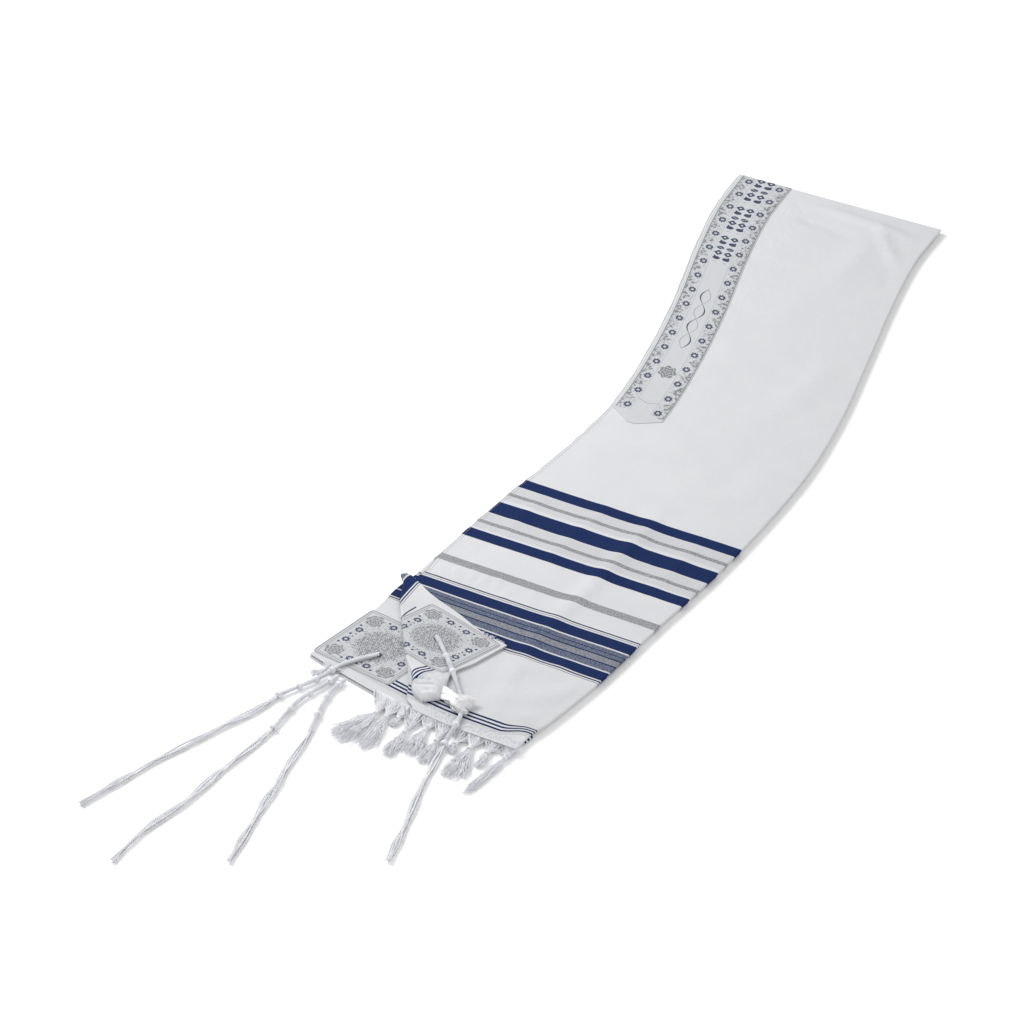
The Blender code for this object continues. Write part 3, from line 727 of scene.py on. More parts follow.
def lie(u, v, lift=0.0):
    """Where a point of the flat cloth lies. lift moves it outwards, off the middle of its wall."""
    # over goes from 0 on the upper half to 1 on the lower half, round the cross fold.
    over = np.clip((v - CROSS_FOLD_AT) / CROSS_ARC, 0, 1)
    turn = over * pi
    v_here = np.minimum(np.minimum(v, CLOTH_LENGTH - v), CROSS_FOLD_AT)
    y_plain = NEAR_END + v_here
    radius = UPPER.radius + (LOWER.radius - UPPER.radius) * over
    away = (UPPER.middle - CROSS_FOLD_HEIGHT) * (1 - over) + (CROSS_FOLD_HEIGHT - LOWER.middle) * over
    arc = u - HALF_WIDTH
    bend = np.clip(arc / radius, -pi / 2, pi / 2)
    flat_part = np.maximum(0.0, np.abs(arc) - radius * pi / 2)
    inset = UPPER_INSET + CORNER_INSET * np.exp(-(((y_plain - CORNER_INSET_AT) / CORNER_INSET_SPAN) ** 2))
    inset = inset * (1 - over) + LOWER_INSET * over
    y_line = y_plain
    # The strip's edges are read at y and the hem's sweep at x, so each is found from the other.
    for _ in range(2):
        left, right = strip_left(y_line) + inset, strip_right(y_line) - LOWER_SHORT * over
        pull = (right - left - radius) / (HALF_WIDTH - radius * pi / 2)
        x = right - radius - flat_part * pull + (radius + lift) * np.cos(bend)
        y_line = y_plain + near_sweep(x) * (1 - smooth_step(v_here / SWEEP_FADES))
    off_middle = -(radius + lift) * np.sin(bend)
    # Only the top layer has creases, and they fade out by both folds and at the hem.
    top = smooth_step((-arc - 4 * MM) / (12 * MM)) * (1 - over)
    top = top * smooth_step((CROSS_FOLD_AT - v) / 0.012)
    off_middle = off_middle + crease_relief(x, y_plain) * top * smooth_step((v_here + 0.004) / 0.03)
    # By the right end of the hem the weave is drawn back a little, behind the hem itself.
    curl = CURL * smooth_step((x - 0.060) / 0.024) * smooth_step((v_here - 0.001) / 0.011)
    curl = curl * (1 - smooth_step((v_here - 0.010) / 0.035)) * (1 - over)
    far = FAR_TILT * x * smooth_step((v_here - FAR_TILT_FROM) / FAR_TILT_SPAN)
    offset = away + off_middle
    y = y_line + curl + far - 0.4 * MM + offset * np.sin(turn)
    z = CROSS_FOLD_HEIGHT + offset * np.cos(turn)
    return np.stack([x, y, z], axis=-1)


print("whole cut:", CLOTH_WIDTH, "m by", round(CLOTH_LENGTH, 3), "m")

# %% [markdown]
# ## Weaving the stripes
# The stripes are woven, not printed: ribbed navy bands, silver threads twisted with white, grey
# bands with fine navy lines. So each kind is a mask made of intervals of v, all listed in one
# table, and each kind has its own colour, roughness and fine relief.

# %% Paint the striped cloth
# Where each stripe starts and ends, in metres from the fringed end.
STRIPES = {
    "navy": ((0.3405, 0.3535), (0.2925, 0.3115), (0.2505, 0.2638), (0.1648, 0.1780), (0.1200, 0.1320),
             (0.0237, 0.0260), (0.0192, 0.0215), (0.0147, 0.0170), (0.1508, 0.1524), (0.1418, 0.1434),
             (0.1570, 0.1578)),
    "dark": ((0.1822, 0.1838), (0.1800, 0.1806), (0.1168, 0.1185), (0.1146, 0.1152)),
    "silver": ((0.3238, 0.3284), (0.2748, 0.2794), (0.2072, 0.2166)),
    "pale edge": ((0.1630, 0.1648), (0.1320, 0.1338), (0.1780, 0.1790), (0.1190, 0.1200)),
    "grey": ((0.1522, 0.1630), (0.1338, 0.1422)),
    "twist": ((0.1432, 0.1512),),
    "rib": ((0.3160, 0.3400), (0.2670, 0.2915), (0.0100, 0.0150)),
}
CLOTH_WHITE = (0.685, 0.688, 0.700)
CLOTH_SHADE = (0.618, 0.624, 0.644)
CLOTH_RIB = (0.490, 0.497, 0.520)
# Grey for the painted shade along the open edge, and for the thin stitched line beside it.
EDGE_SHADE_AND_SEAM_GREY = (0.270, 0.275, 0.300)
NAVY = (0.0036, 0.0128, 0.0610)
NAVY_LIGHT = (0.0080, 0.0262, 0.1020)
DARK_LINE = (0.0350, 0.0470, 0.0950)
SILVER = (0.4500, 0.4550, 0.4700)
SILVER_DARK = (0.1850, 0.1880, 0.2050)
GREY = (0.2150, 0.2400, 0.3050)
GREY_DARK = (0.0350, 0.0520, 0.1150)
PALE_EDGE = (0.6000, 0.6000, 0.6100)
THREAD = 0.62 * MM
GLITTER_PITCH = 2.3 * MM
RIB_PITCH = 2.1 * MM
TWIST_PITCH = 2.0 * MM
FULL_TURN = 2 * pi


def stripe_mask(v, kind):
    """1 on every stripe of a kind."""
    bands = [v.band(low, high, 0.35 * MM) for low, high in STRIPES[kind]]
    found = bands[0]
    for band in bands[1:]:
        found = found + band
    return found


def paint_cloth(name):
    paint = Paint(name, Specular_IOR_Level=0.12)
    u, v_plain = paint.place_uv("cut")
    place = paint.object_place()
    wander = paint.noise(place, 14 * MM) - 0.5
    v = v_plain.least(CLOTH_LENGTH - v_plain) + wander * 0.0007
    fine = paint.noise(place, 0.9 * MM, 3.0)
    broad = paint.noise(place, 30 * MM, 3.0)
    rumple = paint.noise(place, 7 * MM, 2.0)
    warp = (u * (FULL_TURN / THREAD)).sin()
    weft = (v * (FULL_TURN / THREAD)).sin()
    weave = warp * weft
    diagonal = ((u + v) * (FULL_TURN / GLITTER_PITCH)).sin()
    opposite = ((u - v) * (FULL_TURN / GLITTER_PITCH)).sin()
    coarse = paint.noise(place, 1.5 * MM, 2.0)
    glitter = (diagonal * opposite * 0.9 + (coarse - 0.5) * 3 + 0.45).held()
    masks = {kind: stripe_mask(v, kind) for kind in STRIPES}
    # Along the open edge a grey line of painted shade outlines the rim, with a thin stitched line beside
    # it.
    edge_shade_and_seam_line = u.inside(0.9 * MM, 0.0004) * 0.6 + (u - 3.4 * MM).inside(0.3 * MM, 0.0003) * 0.5
    white = paint.mix(((fine - 0.3) * 1.2 + (broad - 0.5) * 0.7).held(), CLOTH_SHADE, CLOTH_WHITE)
    ribs = (v * (FULL_TURN / RIB_PITCH)).sin()
    # From here each kind of stripe is laid over the colours before it.
    colour = paint.mix(masks["rib"] * (0.45 + ribs * 0.35), white, CLOTH_RIB)
    colour = paint.mix(edge_shade_and_seam_line.held(), colour, EDGE_SHADE_AND_SEAM_GREY)
    colour = paint.mix(masks["pale edge"], colour, PALE_EDGE)
    colour = paint.mix(masks["grey"], colour, paint.mix(glitter, GREY_DARK, GREY))
    twist = ((u * 0.7 + v) * (FULL_TURN / TWIST_PITCH)).sin() * 0.5 + 0.5
    twisted = paint.mix(twist, GREY_DARK, SILVER_DARK)
    colour = paint.mix(masks["twist"], colour, paint.mix(glitter * 0.7, twisted, SILVER))
    colour = paint.mix(masks["silver"], colour, paint.mix(glitter, SILVER_DARK, SILVER))
    colour = paint.mix(masks["dark"], colour, DARK_LINE)
    colour = paint.mix(masks["navy"], colour, paint.mix((fine * 1.4 - 0.3).held(), NAVY, NAVY_LIGHT))
    flat_weave = 1 - masks["navy"].held() * 0.6
    height = weave * 0.30 * flat_weave + fine * 0.6 + masks["navy"] * 0.5 + masks["silver"] * glitter * 0.7
    height = height + masks["rib"] * ribs * 0.6 + masks["grey"] * glitter * 0.5 + rumple * 1.6
    roughness = 0.86 - masks["silver"] * 0.3 - masks["twist"] * 0.2 - masks["navy"] * 0.1
    return paint.finish(colour, roughness, height, depth=0.3 * MM, share=1.0)


striped = paint_cloth("woven_striped_cloth")

# %% [markdown]
# ## The two halves of the cloth
# One grid could hold the whole cloth, but the lower half shows only at its edges and its bare
# corner. So the cloth is two grids that meet under the cross fold: a fine one for the upper half
# and a coarser one below. Both are single surfaces with a Solidify modifier, which gives the
# cloth its thickness and closes its edges. The upper half stops short of the turned corner's fold.

# %% Lay the upper half
Point = namedtuple("Point", "x y")
CORNER_FOLD = (
    Point(-0.1255, -0.2680),
    Point(-0.1175, -0.2780),
    Point(-0.1075, -0.3020),
    Point(-0.0845, -0.3375),
    Point(-0.0615, -0.3720),
    Point(-0.0435, -0.3940),
    Point(-0.0365, -0.4070),
    Point(-0.0300, -0.4150),
    Point(-0.0185, -0.4200),
)
CUT_BACK = 5.0 * MM
fold_line = smooth_line([(p.x, p.y) for p in CORNER_FOLD], 0.5 * MM)
fold_run = np.gradient(fold_line, axis=0)
fold_run /= np.linalg.norm(fold_run, axis=1)[:, None]
fold_inward = np.column_stack([-fold_run[:, 1], fold_run[:, 0]])


def cloth_object(name, places, cut, wall, finish):
    """A closed shell from a grid of places, with the flat cut as its UV map, in metres."""
    rows, columns = places.shape[:2]
    index = np.arange(rows * columns).reshape(rows, columns)
    faces = np.stack([index[:-1, :-1], index[:-1, 1:], index[1:, 1:], index[1:, :-1]], axis=-1)
    mesh = bpy.data.meshes.new(name)
    mesh.from_pydata(places.reshape(-1, 3).tolist(), [], faces.reshape(-1, 4).tolist())
    corners = np.empty(len(mesh.loops), np.int32)
    mesh.loops.foreach_get("vertex_index", corners)
    mesh.uv_layers.new(name="cut").data.foreach_set("uv", cut.reshape(-1, 2)[corners].ravel())
    mesh.materials.append(finish)
    mesh.shade_smooth()
    made = bpy.data.objects.new(name, mesh)
    bpy.context.scene.collection.objects.link(made)
    shell = made.modifiers.new("wall", "SOLIDIFY")
    shell.thickness = wall
    shell.offset = 0.0
    solid = bpy.data.meshes.new_from_object(made.evaluated_get(bpy.context.evaluated_depsgraph_get()))
    made.modifiers.remove(shell)
    made.data = solid
    solid.set_sharp_from_angle(angle=radians(60))
    print(f"{name}: {rows} by {columns} points, wall {wall / MM:.1f} mm")
    return made


def spread(low, high, step):
    return np.linspace(low, high, max(2, round((high - low) / step) + 1))


def across_cloth(fine, coarse, radius):
    """Columns over the cloth's width: close ones round the long fold."""
    arc = radius * pi / 2
    near = spread(0.0, HALF_WIDTH - arc * 1.05, fine)[:-1]
    turn = np.linspace(HALF_WIDTH - arc * 1.05, HALF_WIDTH + arc * 1.05, 9)
    return np.concatenate([near, turn, spread(HALF_WIDTH + arc * 1.05, CLOTH_WIDTH, coarse)[1:]])


def cut_at_fold(u, v):
    """The least distance from the left edge at each v that the turned corner leaves."""
    v_line = v[:, 0]
    y = lie(np.full_like(v_line, 0.05), v_line)[:, 1]
    fold_y = fold_line[::-1, 1] + fold_inward[::-1, 1] * CUT_BACK
    fold_x = fold_line[::-1, 0] + fold_inward[::-1, 0] * CUT_BACK
    order = np.argsort(fold_y)
    x_cut = np.interp(y, fold_y[order], fold_x[order], right=-1.0)
    left = lie(np.zeros_like(v_line), v_line)[:, 0]
    share = np.clip((x_cut - left) / (strip_right(y) - left), 0, 0.95)
    least = share * HALF_WIDTH * smooth_step((-0.268 - y) / 0.006)
    return least[:, None]


def near_edge(distance, reach):
    """1 at an edge, and less the farther from it, down to 0 at a reach."""
    return np.clip(1 - distance / reach, 0, 1)


def squeezed(u, least):
    """The columns moved so that both open edges start at the cut."""
    share = np.abs(u - HALF_WIDTH) / HALF_WIDTH
    flat = np.maximum(0, share - 0.02) / 0.98
    return u + np.sign(HALF_WIDTH - u) * least * flat


u_upper = across_cloth(2.9 * MM, 9 * MM, UPPER.radius)[None, :]
v_upper = np.concatenate([spread(0.0, CROSS_FOLD_AT, 3.3 * MM)[:-1],
                          np.linspace(CROSS_FOLD_AT, CROSS_FOLD_AT + CROSS_ARC * 0.97, 14)])[:, None]
u_grid, v_grid = np.broadcast_arrays(u_upper, v_upper)
u_grid = squeezed(u_grid, cut_at_fold(u_grid, v_grid))
upper_places = lie(u_grid, v_grid)
# No woven edge is quite straight: each of the two open edges gets small waves of its own.
left_waves = 0.5 * MM * np.sin(v_grid * 170 + 2 * np.sin(v_grid * 71))
right_waves = 0.9 * MM * (1 + np.sin(v_grid * 120))
upper_places[..., 0] += left_waves * near_edge(u_grid, 0.012)
upper_places[..., 0] += right_waves * near_edge(CLOTH_WIDTH - u_grid, 0.02)
upper = cloth_object("shawl_upper_half", upper_places, np.stack([u_grid, v_grid], -1), CLOTH_WALL, striped)

# %% [markdown]
# ## The lower half
# The lower half is seen where it sticks out past the upper one: along the left edge and at the
# bare corner. It comes from the same folding rule, with wider spacing. Its edges wave a little,
# and one small pleat is put into the cut's numbers instead of the mesh, since only its effect on
# the stripes shows.

# %% Lay the lower half
PLEAT_AT = 0.150
u_lower = across_cloth(4.5 * MM, 6.5 * MM, LOWER.radius)[None, :]
v_lower = np.concatenate([
    np.linspace(CROSS_FOLD_AT + CROSS_ARC * 1.03, CROSS_FOLD_AT + CROSS_ARC * 1.2, 3)[:-1],
    spread(CROSS_FOLD_AT + CROSS_ARC * 1.2, CLOTH_LENGTH, 4.6 * MM)])[:, None]
beside_pleat = [[CLOTH_LENGTH - PLEAT_AT + 0.3 * MM], [CLOTH_LENGTH - PLEAT_AT - 0.3 * MM]]
v_lower = np.sort(np.vstack([v_lower, beside_pleat]), axis=0)
u_under, v_under = np.broadcast_arrays(u_lower, v_lower)
# The lower half lies face down on the surface: its first half width is the bottom layer.
lower_places = lie(u_under, v_under)
away_u = CLOTH_WIDTH - u_under
bottom_waves = (0.5 + 0.5 * np.sin(v_under * 133)) * 0.8 * MM
lower_places[..., 0] += bottom_waves * near_edge(u_under, 0.015)
lower_places[..., 0] += 0.25 * MM * np.sin(v_under * 97) * near_edge(away_u, 0.015)
# The bottom layer's hem sticks out a little past the one above it.
lower_places[..., 1] -= 1.3 * MM * (u_under < HALF_WIDTH) * near_edge(CLOTH_LENGTH - v_under, 0.02)
# The left edge bulges where the corner's fold begins.
bulge = 3.2 * MM * np.exp(-(((lower_places[..., 1] + 0.285) / 0.024) ** 2))
lower_places[..., 0] -= bulge * np.maximum(near_edge(away_u, 0.06), near_edge(u_under, 0.06))
# A small pleat by the turned corner hides the grey band there: the cut jumps over it, and the
# cloth beside it is drawn a little back.
from_end = CLOTH_LENGTH - v_under
drawn = 0.0167 * smooth_step((from_end - 0.075) / 0.030) * (from_end < PLEAT_AT)
pleat = 0.0143 * (from_end >= PLEAT_AT) * (from_end < 0.175)
lower_cut = np.stack([u_under, v_under + (drawn - pleat) * (away_u < 0.055)], axis=-1)
lower = cloth_object("shawl_lower_half", lower_places, lower_cut, CLOTH_WALL, striped)

# %% [markdown]
# ## The turned-back corner
# Two layers are turned back together, so the under one shows its face. Near the left edge the
# fold is small; at the fringed end it is left as a loose roll. The rule here takes a point as if
# the corner ran on flat past its fold, and wraps what lies past the fold round a half circle that
# grows with the roll. The square sewn on it uses the same rule, so it wraps round with the cloth.

# %% Wrap the turned corner
CORNER_TIP = Point(0.0120, -0.3140)
LONG_FREE_EDGE = ((-0.1255, -0.2680), (-0.1160, -0.2655), (-0.0860, -0.2815), (-0.0490, -0.2950),
                  (-0.0145, -0.3090), CORNER_TIP)
FRINGED_FREE_EDGE = (CORNER_TIP, (0.0060, -0.3300), (-0.0030, -0.3520), (-0.0130, -0.3710),
                     (-0.0115, -0.3850), (-0.0065, -0.3990), (-0.0060, -0.4100), (-0.0185, -0.4200))
FLAP_HEIGHT = 8.4 * MM
WRAP_FROM = 4.1 * MM
FOLD_REACH = 1.7 * MM
ROLL_HEIGHT = 6.2 * MM
ROLL_STARTS = -0.3720
ROLL_GROWS = 0.022
ROLL_CREASE_HALF = 1.3 * MM
# With the tip, each of these gives the straight line that a free edge is measured from.
ON_FRINGED_EDGE = Point(-0.0100, -0.3710)
ON_LONG_EDGE = Point(-0.1140, -0.2710)
FLAP_PAIR = 1.2 * MM
# Sharp little troughs of the roll: from, to and depth.
ROLL_CREASES = (
    (-0.0370, -0.3985, -0.0220, -0.3960, 2.2),
    (-0.0330, -0.4060, -0.0160, -0.4010, 2.0),
    (-0.0300, -0.3860, -0.0170, -0.3890, 1.4),
    (-0.0240, -0.4130, -0.0120, -0.4070, 1.6),
)


def flap_top(x, y):
    """The height of the turned corner's upper face, with its roll and a few soft creases."""
    free = np.array(FRINGED_FREE_EDGE)[::-1]
    left = np.interp(y, fold_line[::-1, 1], fold_line[::-1, 0])
    right = np.interp(y, free[:, 1], free[:, 0])
    half = np.maximum((right - left) / 2, 1 * MM)
    share = np.clip((x - (left + right) / 2) / half, -1, 1)
    # The roll has a gentle shoulder towards the fold and a steep one at the free edge.
    rise = np.where(share < 0, 1 - 0.42 * share**2, np.sqrt(np.maximum(0, 1 - np.abs(share) ** 3)))
    grown_share = smooth_step((ROLL_STARTS - y) / ROLL_GROWS) * np.clip(half / 0.013, 0, 1)
    creases = 0.7 * np.exp(-(((x + 0.3 * y + 0.136) / 0.007) ** 2)) * smooth_step((-0.345 - y) / 0.02)
    for x_from, y_from, x_to, y_to, depth in ROLL_CREASES:
        t, off = along_and_off(x, y, (x_from, y_from), (x_to, y_to))
        ends = smooth_step(t * 4 + 0.5) * smooth_step((1 - t) * 4 + 0.5)
        creases = creases - depth * np.exp(-((off / ROLL_CREASE_HALF) ** 2)) * ends
    creases = creases + 0.35 * np.sin(x * 95 + y * 61) * np.sin(y * 83 - x * 37)
    return FLAP_HEIGHT + ROLL_HEIGHT * rise * grown_share + creases * MM


def wrap(places, lift=0.0, inner=0.0):
    """Lays plan points on the turned corner. Points past the fold go round it and under.

    inner is 0 for the outer of the two layers that are turned back, and 1 for the inner one.
    """
    flat = places.reshape(-1, 2)
    gaps = ((flat[:, None, :] - fold_line[None, ::3, :]) ** 2).sum(-1)
    nearest = np.argmin(gaps, axis=1) * 3
    foot = fold_line[nearest]
    inward = fold_inward[nearest]
    reach = ((flat - foot) * inward).sum(-1)
    sideways = (flat - foot) - inward * reach[:, None]
    top_here = flap_top(*(foot + inward * FOLD_REACH).T)
    bottom_here = WRAP_FROM + inner * 1.15 * MM
    rise = (top_here - inner * FLAP_PAIR - bottom_here) / 2
    # Within out of the fold's line the cloth is still going round, on a half ring rise high.
    out = FOLD_REACH + 0.5 * (rise - 2.1 * MM)
    turn = np.clip((out - reach) / ((rise + out) / 2), 0, pi)
    plan = foot + inward * (out - (out - inner * FLAP_PAIR + lift) * np.sin(turn))[:, None] + sideways
    wrapped = reach < out
    x = np.where(wrapped, plan[:, 0], flat[:, 0])
    y = np.where(wrapped, plan[:, 1], flat[:, 1])
    flat_z = flap_top(flat[:, 0], flat[:, 1]) - inner * FLAP_PAIR + lift
    z = np.where(wrapped, bottom_here + rise + (rise + lift) * np.cos(turn), flat_z)
    return np.column_stack([x, y, z]).reshape(*places.shape[:-1], 3)


def flap_cut(places):
    """The flat cut's u and v on the turned corner: how far each point is from its two free edges."""
    x, y = places[..., 0], places[..., 1]
    _, away_v = along_and_off(x, y, ON_FRINGED_EDGE, CORNER_TIP)
    _, away_u = along_and_off(x, y, CORNER_TIP, ON_LONG_EDGE)
    # By the fold the cloth is pulled askew, and the stripes with it.
    askew = 0.36 * np.clip(away_u, 0, 0.032) - 0.0054
    away_v = away_v + askew * smooth_step((away_v - 0.098) / 0.012)
    return np.stack([CLOTH_WIDTH - np.maximum(away_u, 0), np.maximum(away_v, 1 * MM)], axis=-1)


ACROSS_FLAP = 74
ALONG_FLAP = 128
TIP_COLUMN = 66
PAST_FOLD = 13 * MM


def points_at(line, shares):
    """Points of a line at shares of its length."""
    marks = np.linspace(0, 1, len(line))
    return np.column_stack([np.interp(shares, marks, column) for column in line.T])


def flap_grid(shrink):
    """Plan points of the turned corner: rows from past the fold to the free edges."""
    share = np.linspace(0, 1, ALONG_FLAP)
    on_fold = points_at(fold_line, share)
    first = np.linspace(0, 1, TIP_COLUMN)
    rest = np.linspace(0, 1, ALONG_FLAP - TIP_COLUMN + 1)[1:]
    free = np.vstack([points_at(smooth_line(LONG_FREE_EDGE, 1 * MM), first),
                      points_at(smooth_line(FRINGED_FREE_EDGE, 1 * MM), rest)])
    inward = points_at(fold_inward, share)
    rows = [on_fold - inward * step for step in np.linspace(PAST_FOLD, 0, 15)[:-1]]
    rows += [on_fold + (free - on_fold) * step for step in np.linspace(0, 1 - shrink, ACROSS_FLAP)]
    return np.stack(rows)


outer_plan = flap_grid(0.0)
flap = cloth_object("turned_corner_face", wrap(outer_plan), flap_cut(outer_plan), 0.9 * MM, striped)
inner_plan = flap_grid(0.004)
flap_lining = cloth_object("turned_corner_back", wrap(inner_plan, inner=1.0), flap_cut(inner_plan),
                           0.9 * MM, striped)

# %% [markdown]
# ## Printed figures
# The squares and the neckband are satin, woven with navy rosettes, grey rose emblems and fine
# grey borders. A figure is drawn from its own distance and angle, so it needs no picture: a
# ring whose radius swings with the angle is a flower, and a row of cells repeats it.
# The blessing that such a band bears is left out: two rows of small leaves and lozenges fill its place.

# %% Figures that the squares and the band share
PRINT_WHITE = (0.575, 0.585, 0.605)
PRINT_SHADE = (0.455, 0.465, 0.490)
PRINT_GREY = (0.082, 0.084, 0.095)
PRINT_NAVY = (0.006, 0.015, 0.064)


def polar(x, y):
    """The distance and the angle of each point, from the origin of x and y."""
    return (x * x + y * y).power(0.5), y.math("ARCTAN2", x)


def flower(x, y, radius, petals, line):
    """A ring of petals round the origin of x and y."""
    reach, angle = polar(x, y)
    edge = radius + (angle * petals).cos() * (radius * 0.22)
    return (reach - edge).inside(line / 2, 0.0004)


def disc(x, y, radius):
    return (x * x + y * y).power(0.5).inside(radius, 0.0004)


def rose(x, y, radius):
    """A grey rose emblem: petals in rings inside a leafy outline."""
    reach, angle = polar(x, y)
    swirl = (reach * (FULL_TURN / (radius * 0.38)) + (angle * 5).sin() * 1.9 + (angle * 2).cos()).sin()
    leaves = reach - radius * 0.88 - (angle * 7).cos() * (radius * 0.10)
    body = ((0 - leaves) / 0.0005).held()
    rim = abs(leaves).inside(0.0003, 0.0004)
    return (body * (0.56 + swirl * 0.34) + rim * 0.6).held()


def satin(paint, u, v, grey, navy):
    """The finish of printed satin: off white, with its grey and navy figures."""
    place = paint.object_place()
    fine = paint.noise(place, 0.8 * MM, 3.0)
    ground = paint.mix(((fine - 0.3) * 1.6).held(), PRINT_SHADE, PRINT_WHITE)
    colour = paint.mix((grey * (0.55 + fine * 0.5)).held(), ground, PRINT_GREY)
    colour = paint.mix((navy * (0.86 + fine * 0.25)).held(), colour, PRINT_NAVY)
    threads = (u * (FULL_TURN / (0.5 * MM))).sin() * 0.3 + (v * (FULL_TURN / (0.9 * MM))).sin() * 0.2
    height = threads + fine * 0.7 + navy * 0.4 + grey * 0.25
    return paint.finish(colour, 0.62 + fine * 0.15, height, depth=0.2 * MM, share=0.7)


# %% [markdown]
# ## The squares' pattern
# A square has a double border, an emblem in each corner, rosettes and dots along its sides and a
# round medallion in its middle. It's the same in all eight of its parts, so the pattern is
# drawn once, from the longer and the shorter of the two distances from the middle.

# %% Paint the corner squares
SQUARE = 84 * MM
HALF_SQUARE = SQUARE / 2
SQUARE_ROUNDING = 35.5 * MM
SQUARE_EMBLEM = 26.8 * MM
# The dots of each part: how far from its middle line, how far out, and the radius, in mm.
SQUARE_DOTS = ((15.0, 32.2, 1.2), (0.0, 31.5, 1.2), (2.2, 27.5, 0.8))


def paint_square(name):
    paint = Paint(name, Sheen_Weight=0.2, Specular_IOR_Level=0.35)
    u, v = paint.place_uv("cut")
    x, y = (u - HALF_SQUARE) / 1.05, (v - HALF_SQUARE) / 1.05
    side_x, side_y = abs(x), abs(y)
    long_way, short_way = side_x.most(side_y), side_x.least(side_y)
    # A square with round corners: rounding is 1 on its outline.
    rounding = ((side_x / SQUARE_ROUNDING).power(7) + (side_y / SQUARE_ROUNDING).power(7)).power(1 / 7)
    grey = long_way.band(0.0384, 0.0394) + long_way.band(0.0364, 0.0371) * 0.8
    grey = grey + rounding.band(0.985, 1.008, 0.008) * 0.5
    grey = grey + rose(side_x - SQUARE_EMBLEM, side_y - SQUARE_EMBLEM, radius=8.6 * MM)
    navy = flower(short_way - 8.8 * MM, long_way - 29.2 * MM, radius=2.4 * MM, petals=8, line=2.0 * MM)
    for off, out, radius in SQUARE_DOTS:
        navy = navy + disc(short_way - off * MM, long_way - out * MM, radius * MM)
    reach, angle = polar(x, y)
    hatch = ((x * 0.8 + y) * (FULL_TURN / (2.1 * MM)) + (x * 160).sin() * 2.0).sin()
    rays = ((angle * 24).sin() + (reach * (FULL_TURN / (5.2 * MM))).sin()).held()
    filigree = paint.noise(paint.object_place(), 1.6 * MM, 3.0)
    broad = paint.noise(paint.object_place(), 9 * MM, 2.0)
    medallion = reach.inside(0.0215, 0.005) * (0.42 + hatch * 0.24 + rays * 0.22 + (filigree - 0.5) * 1.9)
    speckle = ((filigree - 0.47) * 5).held() * (0.40 + (broad - 0.4).held() * 2.2)
    grey = grey + medallion.held() + rounding.inside(0.93, 0.1) * speckle
    return satin(paint, u, v, grey.held(), navy.held())


satin_square = paint_square("woven_satin_square")

# %% [markdown]
# ## The corner squares
# Each square is a small piece of satin. It is laid on the cloth by its four corners, and every
# point takes its height from the cloth below it, so the square follows the roll and the fold.

# %% Sew on the squares
SQUARE_WALL = 0.45 * MM
SQUARE_LIFT = 0.78 * MM
LEFT_SQUARE = ((-0.1462, -0.3998), (-0.0592, -0.4103), (-0.0400, -0.3330), (-0.1260, -0.3212))
TURNED_SQUARE = ((-0.1085, -0.3565), (-0.0205, -0.3800), (0.0083, -0.3166), (-0.0779, -0.2935))
LEFT_EYELET = (-0.0880, -0.3770)
TURNED_EYELET = (-0.0490, -0.3370)


def square_plan(corners, steps=61, rounding=4 * MM):
    """A grid over a square of cloth, by its four corners, with its cut in metres."""
    a, b, c, d = (np.array(corner) for corner in corners)
    s, t = np.meshgrid(np.linspace(0, 1, steps), np.linspace(0, 1, steps))
    pulled = 1 - (rounding / SQUARE) * 0.55 * (np.abs(2 * s - 1) * np.abs(2 * t - 1)) ** 14
    s_in, t_in = 0.5 + (s - 0.5) * pulled, 0.5 + (t - 0.5) * pulled
    plan = ((1 - s_in)[..., None] * ((1 - t_in)[..., None] * a + t_in[..., None] * d)
            + s_in[..., None] * ((1 - t_in)[..., None] * b + t_in[..., None] * c))
    return plan, np.stack([s * SQUARE, t * SQUARE], axis=-1)


left_plan, left_cut = square_plan(LEFT_SQUARE)
lower_face = LOWER.middle + LOWER.radius + CLOTH_WALL / 2
pucker = 0.10 * MM * np.sin(left_plan[..., 0] * 210) * np.sin(left_plan[..., 1] * 170)
left_height = np.full(left_plan.shape[:2], lower_face + SQUARE_WALL / 2) + np.abs(pucker)
left_places = np.dstack([left_plan, left_height[..., None]])
left_square = cloth_object("satin_square_left", left_places, left_cut, SQUARE_WALL, satin_square)
turned_plan, turned_cut = square_plan(TURNED_SQUARE)
turned_square = cloth_object("satin_square_turned", wrap(turned_plan, lift=SQUARE_LIFT), turned_cut,
                             SQUARE_WALL, satin_square)

# %% [markdown]
# ## The neckband's pattern
# Along both sides of the band runs a border of rosettes with leafy scrolls between them. Down
# its middle come a fine line, a rose emblem, a chain of two crossing waves, and then two rows of
# figures in groups. Everything depends on how far across and along the band a point is.

# %% Paint the neckband
BAND_WIDTH = 56 * MM
BORDER_MIDDLE = 17.4 * MM
BORDER_OUTSIDE = 26.2 * MM
ROSETTE_PITCH = 26.2 * MM
FIRST_ROSETTE = 25.9 * MM
EMBLEM_AT = 92.5 * MM
CHAIN_STARTS = 136 * MM
CHAIN_ENDS = 243 * MM
CHAIN_LINK = 26.6 * MM
FIGURES_START = 288 * MM
FIGURE_PITCH = 9.5 * MM
WORD_PITCH = 57 * MM


